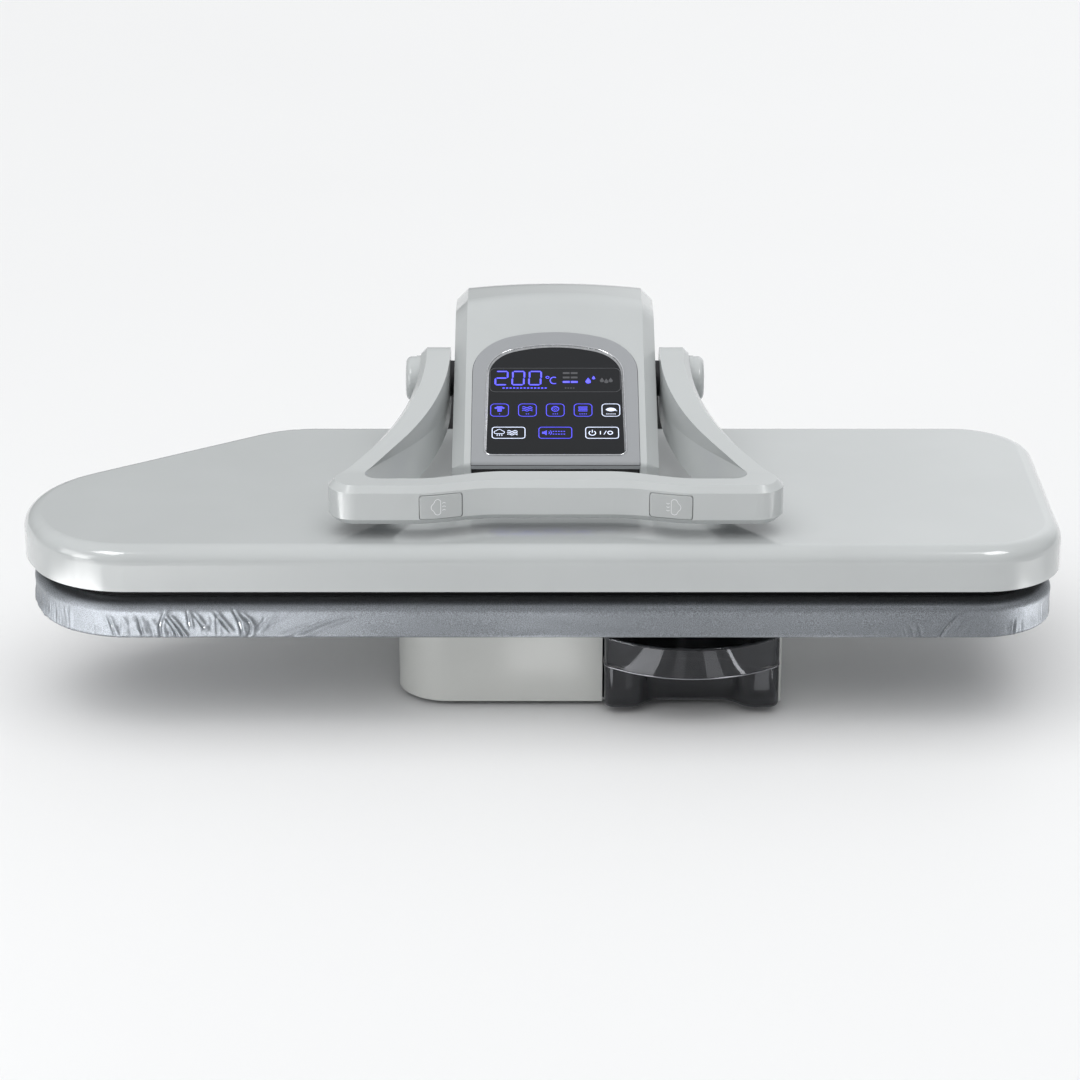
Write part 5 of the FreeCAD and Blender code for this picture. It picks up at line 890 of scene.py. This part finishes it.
def draw_drop(t, x, y, size):
    t.polygon(moved([(0, 1)] + arc(0, -0.2, 0.55, 30, -210, 12), x, y, size))


# Places of the touch icons and keys on the lens

ICON_ROW = 57.8
ICON_STEP = 22.85
KEY_ROW = 30.8
KEY_STEP = 38.15


def draw_shirt(t, x, y):
    half = [(1.8, -3.2), (1.8, 0.8), (3.4, -0.2), (4.3, 1.2), (1.8, 3.1)]
    t.polygon(moved(half + [(-a, b) for a, b in reversed(half)], x, y))


def draw_waves(t, x, y):
    for k in (-2.0, 0, 2.0):
        t.line([(x - 4.2 + i * 0.76, y + k + 0.7 * math.sin(i * 0.95)) for i in range(12)], 0.7)


def draw_ball(t, x, y):
    t.line(arc(x, y, 2.9, 0, 345, 20), 0.7, True)
    for k in (-1, 0, 1):
        t.line(arc(x - 2.6 + k * 1.4, y - 2.6 + k, 4.4, 22, 73, 8), 0.5)


def draw_folded(t, x, y):
    for k in (-2.1, 0, 2.1):
        t.line(moved([(3.6, -0.6), (-3.2, -0.6), (-3.8, 0), (-3.2, 0.6), (3.6, 0.6)], x, y + k), 0.5)


def draw_leaf(t, x, y):
    t.polygon(arc(x, y - 4.2, 5.6, 142, 38, 10) + arc(x, y + 2.7, 5.6, -38, -142, 10)[1:-1])
    t.line([(x + 3, y - 1), (x + 5, y - 2.6)], 0.6)


def draw_power(t, x, y, size=3.2):
    t.line(arc(x, y, size, 125, 415, 20), 0.75)
    t.line([(x, y + 0.4), (x, y + size + 1)], 0.75)


def draw_steam(t, x, y, size=1.0, stroke=0.55):
    """A cloud above three rising wisps."""
    cloud = arc(-2.6, 0.6, 1.8, 250, 100, 8) + arc(0, 2, 2.2, 150, 30, 8) + arc(2.6, 0.6, 1.8, 80, -70, 8)
    t.line(moved(cloud, x, y, size), stroke * size, True)
    for k in (-2, 0, 2):
        t.line(moved([(k, -2), (k + 0.5, -2.9), (k, -3.8)], x, y, size), stroke * size)


def draw_speaker(t, x, y):
    t.polygon(moved([(-3.4, -1.2), (-1.8, -1.2), (0.4, -3), (0.4, 3), (-1.8, 1.2), (-3.4, 1.2)], x, y))
    for radius, parts in ((2, 6), (3.6, 8)):
        t.line(arc(x + 0.6, y, radius, -45, 45, parts), 0.6)


def draw_dots(t, x, y, count, radius=0.5, pitch=1.7):
    """A row of dots, the usual mark of a heat setting."""
    for place in range(count):
        t.polygon(arc(x + (place - (count - 1) / 2) * pitch, y, radius, 0, 330, 11))


def draw_dashes(t, left, right, y, pitch, thick):
    """A fine scale of short dashes."""
    for place in range(int((right - left) / pitch)):
        t.polygon(bar(left + (place + 0.31) * pitch, y, 0.31 * pitch, thick / 2))


class PRESS_OT_display(bpy.types.Operator):
    """Lit figures, level bars and touch symbols on the lens"""
    bl_idname = "press.display"
    bl_label = "Display"

    def execute(self, context):
        blue, white, dim, shade = Print(), Print(), Print(), Print()
        dim.line(rounded_frame(0, 94.2, 54.0, 14.4, 5), 0.45, True)
        draw_digits(blue, "200", -49.2, 88.4, 9.6, 16.2, 13.9, 1.35)
        blue.line(arc(-6.3, 97.4, 1.3, 0, 345, 12), 0.6, True)
        blue.line(arc(-0.9, 93.6, 3.2, 60, 300, 12, 1.25), 0.9)
        draw_dashes(blue, -43.5, -4.0, 84.4, 2.9, 1.1)
        draw_dashes(dim, 8.0, 18.5, 84.4, 2.2, 1.1)
        for level, target in ((102.6, dim), (97.2, dim), (91.8, blue)):
            for side in (-1, 1):
                target.polygon(bar(12.5 + side * 3.3, level, 2.8, 1.1))
        draw_drop(blue, 27.4, 93.0, 4.0)
        draw_drop(blue, 31.9, 96.8, 2.4)
        for k in (-3.6, 0, 3.6):
            draw_drop(dim, 42.4 + k, 92.6 + 0.35 * abs(k), 3.2)
        for place, draw in enumerate((draw_shirt, draw_waves, draw_ball, draw_folded, draw_leaf)):
            target = white if draw is draw_leaf else shade
            x = (place - 2) * ICON_STEP
            target.line(rounded_frame(x, ICON_ROW, 7.3, 7.4, 3.2), 0.6, True)
            draw(target, x, ICON_ROW + 1.4)
            draw_dots(target, x, ICON_ROW - 4.6, place + 1)
        for side, target in ((-1, white), (0, shade), (1, white)):
            target.line(rounded_frame(side * KEY_STEP, KEY_ROW, 13.4, 6.6, 2.4), 0.65, True)
        draw_steam(white, -KEY_STEP - 7.6, KEY_ROW, 0.95)
        draw_waves(white, -KEY_STEP + 3.2, KEY_ROW)
        draw_speaker(shade, -7.4, KEY_ROW)
        for side in (1, -1):
            draw_dashes(shade, -2.2, 9.0, KEY_ROW + side * 1.6, 2.2, 0.9)
        draw_power(white, KEY_STEP - 8, KEY_ROW - 0.3, 2.7)
        white.line([(KEY_STEP - 1.4, KEY_ROW - 2), (KEY_STEP - 1.4, KEY_ROW + 2)], 0.8)
        white.line([(KEY_STEP + 1.4, KEY_ROW - 2.2), (KEY_STEP + 3.4, KEY_ROW + 2.2)], 0.6)
        white.line(arc(KEY_STEP + 6.6, KEY_ROW, 1.9, 0, 345, 16), 0.8, True)
        for collected, name, finish in (
                (blue, "display_blue", "blue_light"), (white, "display_white", "white_light"),
                (shade, "display_icons", "soft_blue_light"), (dim, "display_dim", "dim_print")):
            piece = collected.piece(name, finish)
            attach(piece, "head")
        return {"FINISHED"}


class PRESS_OT_button_marks(bpy.types.Operator):
    """Raised steam marks on the two buttons of the grip"""
    bl_idname = "press.button_marks"
    bl_label = "Button marks"

    def execute(self, context):
        for side, node, body in ((-1, "steam_button_left", "left_button"), (1, "steam_button_right", "right_button")):
            turn = Matrix.Rotation(math.radians(-90 * side), 4, "Z")
            mark = Print(front_frame(node) @ turn, 0, 0.2)
            draw_steam(mark, 0, 0.9, 1.45, 0.34)
            mark.lay_on(node, 0.14)
            piece = mark.piece(node + "_mark", "print_white")
            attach(piece, body)
        return {"FINISHED"}


SEAM_STEP = 3 * MM
SEAM_FROM_EDGE = 4 * MM


class PRESS_OT_hem_stitches(bpy.types.Operator):
    """Stitches of the cover's hem, on its underside"""
    bl_idname = "press.hem_stitches"
    bl_label = "Hem stitches"

    def execute(self, context):
        surface = surface_of(bpy.data.objects["cover_cloth"].data)
        path = []
        for point, normal, _ in press_outline(SEAM_STEP)[0]:
            below = point - normal * (COVER_INSET + HEM_WIDTH - SEAM_FROM_EDGE)
            hit = surface.ray_cast(Vector((*below, COVER_BOTTOM - 10 * MM)), Vector((0, 0, 1)))[0]
            if hit is None:
                raise RuntimeError("the hem has no cloth under its seam")
            path.append(hit)
        seam = stitch_growth(context.scene.press_look).piece("hem_stitches", path, ring_edges(len(path)))
        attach(seam, "base")
        return {"FINISHED"}


def hull_path(points, out):
    """The outline of flat points, pushed outwards."""
    ring = [points[i] for i in geometry.convex_hull_2d(points)]
    count = len(ring)
    pushed = []
    for i, point in enumerate(ring):
        along = (ring[(i + 1) % count] - ring[i - 1]).normalized()
        pushed.append(point + Vector((along.y, -along.x)) * out)
    return pushed


class PRESS_OT_beads(bpy.types.Operator):
    """Bright bead round the lens, a dark bead of painted shadow along the gap round the bezel, and the lip along the
    tank lid's lower edge
    """
    bl_idname = "press.beads"
    bl_label = "Beads"

    def execute(self, context):
        inward = FACE.inverted()
        lens, bezel = ([(inward @ v.co).xy for v in NODES[name].data.vertices]
                       for name in ("display_lens", "panel_bezel"))
        around = [FACE @ Vector((*p, 1.05)) for p in hull_path(lens, 0.25)]
        edge = [FACE @ Vector((*p, 0.2)) for p in hull_path(bezel, 0.1)]
        lid = [v.co for v in NODES["tank_lid"].data.vertices]
        low = min(p.z for p in lid)
        lip = [(*p, low + 0.7 * MM) for p in hull_path([p.xy for p in lid if p.z < low + 0.1 * MM], 0.1 * MM)]
        for name, path, radius, finish, body, slot in (
                ("lens_bead", around, 0.7 * MM, "chrome", "head", "chrome_trim"),
                # The bead round the bezel is painted shadow: a thin dark line where the gap round the bezel lies in
                # shade
                ("bezel_gap", edge, 0.3 * MM, "recess_black", "head", "bezel_grey"),
                ("tank_lid_lip", lip, 0.6 * MM, "rim_gloss", "water_tank", "tank_plastic")):
            piece = bead_growth(name, radius, finish).piece(name, path, ring_edges(len(path)))
            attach(piece, body)
        return {"FINISHED"}


SCREW_REACH = 9 * MM
RECESS_SINK = 0.08 * MM

# Screws with a cross recess: node, body and the way their heads face

SCREW_GROUPS = [
    ("rear_cover_screws", "head", (0, 1, 0)),
    ("base_screws", "base", (0, 0, -1)),
    ("shield_screws", "head", (0, 0, -1)),
    ("board_screws", "base", (0, 0, 1)),
]


def screw_heads(name, facing):
    """The middle of each screw's outer face, from the node's mesh. Points within reach belong to one screw."""
    out = Vector(facing)
    groups = []
    for vertex in NODES[name].data.vertices:
        spot = vertex.co - out * vertex.co.dot(out)
        for first, points in groups:
            if (first - spot).length < SCREW_REACH:
                points.append(vertex.co)
                break
        else:
            groups.append((spot, [vertex.co]))
    heads = []
    for _, points in groups:
        middle = Vector([(min(p[i] for p in points) + max(p[i] for p in points)) / 2 for i in range(3)])
        heads.append(middle + out * (max(p.dot(out) for p in points) - middle.dot(out)))
    return heads


class PRESS_OT_screw_recesses(bpy.types.Operator):
    """Crosses of painted shade for the recesses in the heads of the screws that can be seen"""
    bl_idname = "press.screw_recesses"
    bl_label = "Screw recesses"

    def execute(self, context):
        for name, body, facing in SCREW_GROUPS:
            sunk = [spot - Vector(facing) * RECESS_SINK for spot in screw_heads(name, facing)]
            growth = recess_growth(name + "_recess", context.scene.press_look, facing)
            piece = growth.piece(name + "_recess", sunk, [])
            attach(piece, body)
        return {"FINISHED"}


class PRESS_OT_plain_nodes(bpy.types.Operator):
    """Finishes of the frame's own parts"""
    bl_idname = "press.plain_nodes"
    bl_label = "Part finishes"

    def execute(self, context):
        make_finishes(context.scene.press_look)
        for finish, parts in FINISH_PARTS.items():
            for name in parts.split():
                materials = NODES[name].data.materials
                materials.clear()
                materials.append(bpy.data.materials[finish])
        return {"FINISHED"}


# Stage

CAMERA_PLACE = Vector((0.00025, -2.6936, 1.1124))
CAMERA_TARGET = Vector((0.0, -0.189, 0.158))
CAMERA_LENS = 114.1
SUN_POWER = 1.9
SUN_SPREAD = math.radians(80)
SUN_AIM = (0.1, 0.28, -1)
SKY_TINT = (0.97, 0.985, 1.0, 1)
SEEN_SKY = 0.9
FLOOR_REACH = 150.0
CARD_HEIGHT = 3 * MM

# Cards that lie on the floor: name, x, y, size and radiance

SOFT_CARDS = [
    ("left_cloth_card", -0.40, -0.385, (0.62, 0.22), 13.0),
    ("left_floor_card", -0.52, -0.62, (0.80, 0.34), 2.0),
    ("nose_cloth_card", -0.62, -0.24, (0.24, 0.34), 9.0),
    ("right_cloth_card", 0.60, -0.21, (0.20, 0.42), 11.0),
    ("right_floor_card", 0.80, -0.36, (0.40, 0.60), 1.4),
]

# Cards that stand: name, place, target, size and radiance

CARDS = [
    ("left_card", (-0.53, -0.36, 0.07), (-0.36, -0.20, 0.13), (0.15, 0.16), 1.8),
    ("nose_card", (-1.25, -0.68, 0.50), (-0.37, -0.20, 0.11), (0.8, 0.5), 2.4),
    ("glint_card_left", (-0.82, -0.80, 1.45), (0, -0.05, 0.25), (0.55, 0.5), 7.0),
    ("glint_card_right", (0.82, -0.80, 1.45), (0, -0.05, 0.25), (0.55, 0.5), 7.0),
]

# Bright bands in the tank's front: x, width and radiance

TANK_BANDS = [(0.002, 0.060, 3.0), (0.090, 0.030, 0.4), (0.180, 0.040, 1.2), (0.240, 0.008, 7.0)]


def aimed(name, data, place, target):
    """A light or camera at its place, turned to a target."""
    made = new_object(name, data)
    made.location = place
    made.rotation_euler = (Vector(target) - Vector(place)).to_track_quat("-Z", "Y").to_euler()
    return made


def area_light(name, place, target, size, power):
    data = bpy.data.lights.new(name, "AREA")
    data.shape = "RECTANGLE"
    data.size, data.size_y = size
    data.energy = power
    return aimed(name, data, place, target)


def reflected_card(name, place, target, size, radiance):
    """A small bright card that shows in glossy surfaces only."""
    light = area_light(name, place, target, size, radiance * math.pi * size[0] * size[1])
    light.visible_diffuse = False
    light.visible_camera = False
    return light


def soft_card(name, x, y, size, radiance):
    """A card on the floor, facing up, that fades out to its edges and shows in glossy surfaces only."""
    card = reflected_card(name, (x, y, CARD_HEIGHT), (x, y + 1 * MM, CARD_HEIGHT + 0.3), size, radiance)
    card.data.use_nodes = True
    nodes = Nodes(card.data.node_tree)
    spot = nodes.add("ShaderNodeNewGeometry", result="Parametric")
    across, along = (nodes.add("ShaderNodeSeparateXYZ", {0: spot}, axis).maths("PINGPONG", 0.5).ramp(0.0, 0.42)
                     for axis in "XY")
    nodes.feed(nodes.tree.nodes["Emission"].inputs["Strength"], across * along)


def make_sky(scene):
    """A dome that is bright above, dim along the horizon and brighter behind on the right. The camera sees it
    evenly pale beyond the floor."""
    scene.world = bpy.data.worlds.new("studio")
    scene.world.use_nodes = True
    nodes = Nodes(scene.world.node_tree)
    where = nodes.add("ShaderNodeTexCoord", result="Generated")
    right, behind, above = (
        nodes.add("ShaderNodeSeparateXYZ", {0: where}, axis).ramp(*limits)
        for axis, limits in (("X", (-0.10, 0.25, 0.0, 0.75)), ("Y", (0.4, 0.9)), ("Z", (0.0, 0.85, 0.20, 0.60))))
    seen = nodes.add("ShaderNodeLightPath", result="Is Camera Ray")
    background = nodes.tree.nodes["Background"].inputs
    background["Color"].default_value = SKY_TINT
    shades = {"Factor": seen, "A": above + right * behind, "B": SEEN_SKY}
    nodes.feed(background["Strength"], nodes.add("ShaderNodeMix", shades, "Result"))


class PRESS_OT_stage(bpy.types.Operator):
    """Floor, world, lights and camera"""
    bl_idname = "press.stage"
    bl_label = "Stage"

    def execute(self, context):
        scene = context.scene
        scene.view_settings.view_transform = "Standard"
        finish = Finish("studio_floor", Roughness=0.6)
        finish.set(Base_Color=finish.blend(finish.grain(1.5), (0.83, 0.83, 0.83), (0.85, 0.85, 0.85)))
        corners = [(x * FLOOR_REACH, y * FLOOR_REACH, 0) for x, y in ((-1, -1), (1, -1), (1, 1), (-1, 1))]
        floor = new_piece("studio_floor_sheet", corners, [(0, 1, 2, 3)], "studio_floor")
        make_sky(scene)
        sun = bpy.data.lights.new("soft_sun", "SUN")
        sun.energy = SUN_POWER
        sun.angle = SUN_SPREAD
        aimed("soft_sun", sun, (0, 0, 0), SUN_AIM).visible_glossy = False
        area_light("left_window", (-1.5, -1.0, 0.42), (-0.34, -0.15, 0.12), (0.5, 0.5), 2.8)
        for card in SOFT_CARDS:
            soft_card(*card)
        for card in CARDS:
            reflected_card(*card)
        for i, (x, width, radiance) in enumerate(TANK_BANDS, 1):
            reflected_card(f"tank_band_{i}", (x, -0.285, 0.002), (x, -0.284, 0.3), (width, 0.13), radiance)
        camera = bpy.data.cameras.new("camera")
        camera.lens = CAMERA_LENS
        camera.sensor_width = 36
        camera.clip_end = 100
        scene.camera = aimed("camera", camera, CAMERA_PLACE, CAMERA_TARGET)
        return {"FINISHED"}


class PRESS_PT_panel(bpy.types.Panel):
    """Lists the steps"""
    bl_idname = "PRESS_PT_panel"
    bl_label = "Steam ironing press"
    bl_space_type = "VIEW_3D"
    bl_region_type = "UI"
    bl_category = "Press"

    def draw(self, context):
        for name in PRESS_PG_look.__annotations__:
            self.layout.prop(context.scene.press_look, name)
        for operator in OPERATORS:
            self.layout.operator(operator.bl_idname)


OPERATORS = (PRESS_OT_stage, PRESS_OT_plain_nodes, PRESS_OT_cover, PRESS_OT_pad, PRESS_OT_display,
             PRESS_OT_button_marks, PRESS_OT_hem_stitches, PRESS_OT_screw_recesses, PRESS_OT_beads)
CLASSES = (PRESS_PG_look, *OPERATORS, PRESS_PT_panel)


def register():
    for made in CLASSES:
        bpy.utils.register_class(made)
    bpy.types.Scene.press_look = bpy.props.PointerProperty(type=PRESS_PG_look)


def unregister():
    del bpy.types.Scene.press_look
    for made in reversed(CLASSES):
        bpy.utils.unregister_class(made)


def main():
    register()
    for operator in OPERATORS:
        group, name = operator.bl_idname.split(".")
        getattr(getattr(bpy.ops, group), name)()


if __name__ == "__main__":
    main()
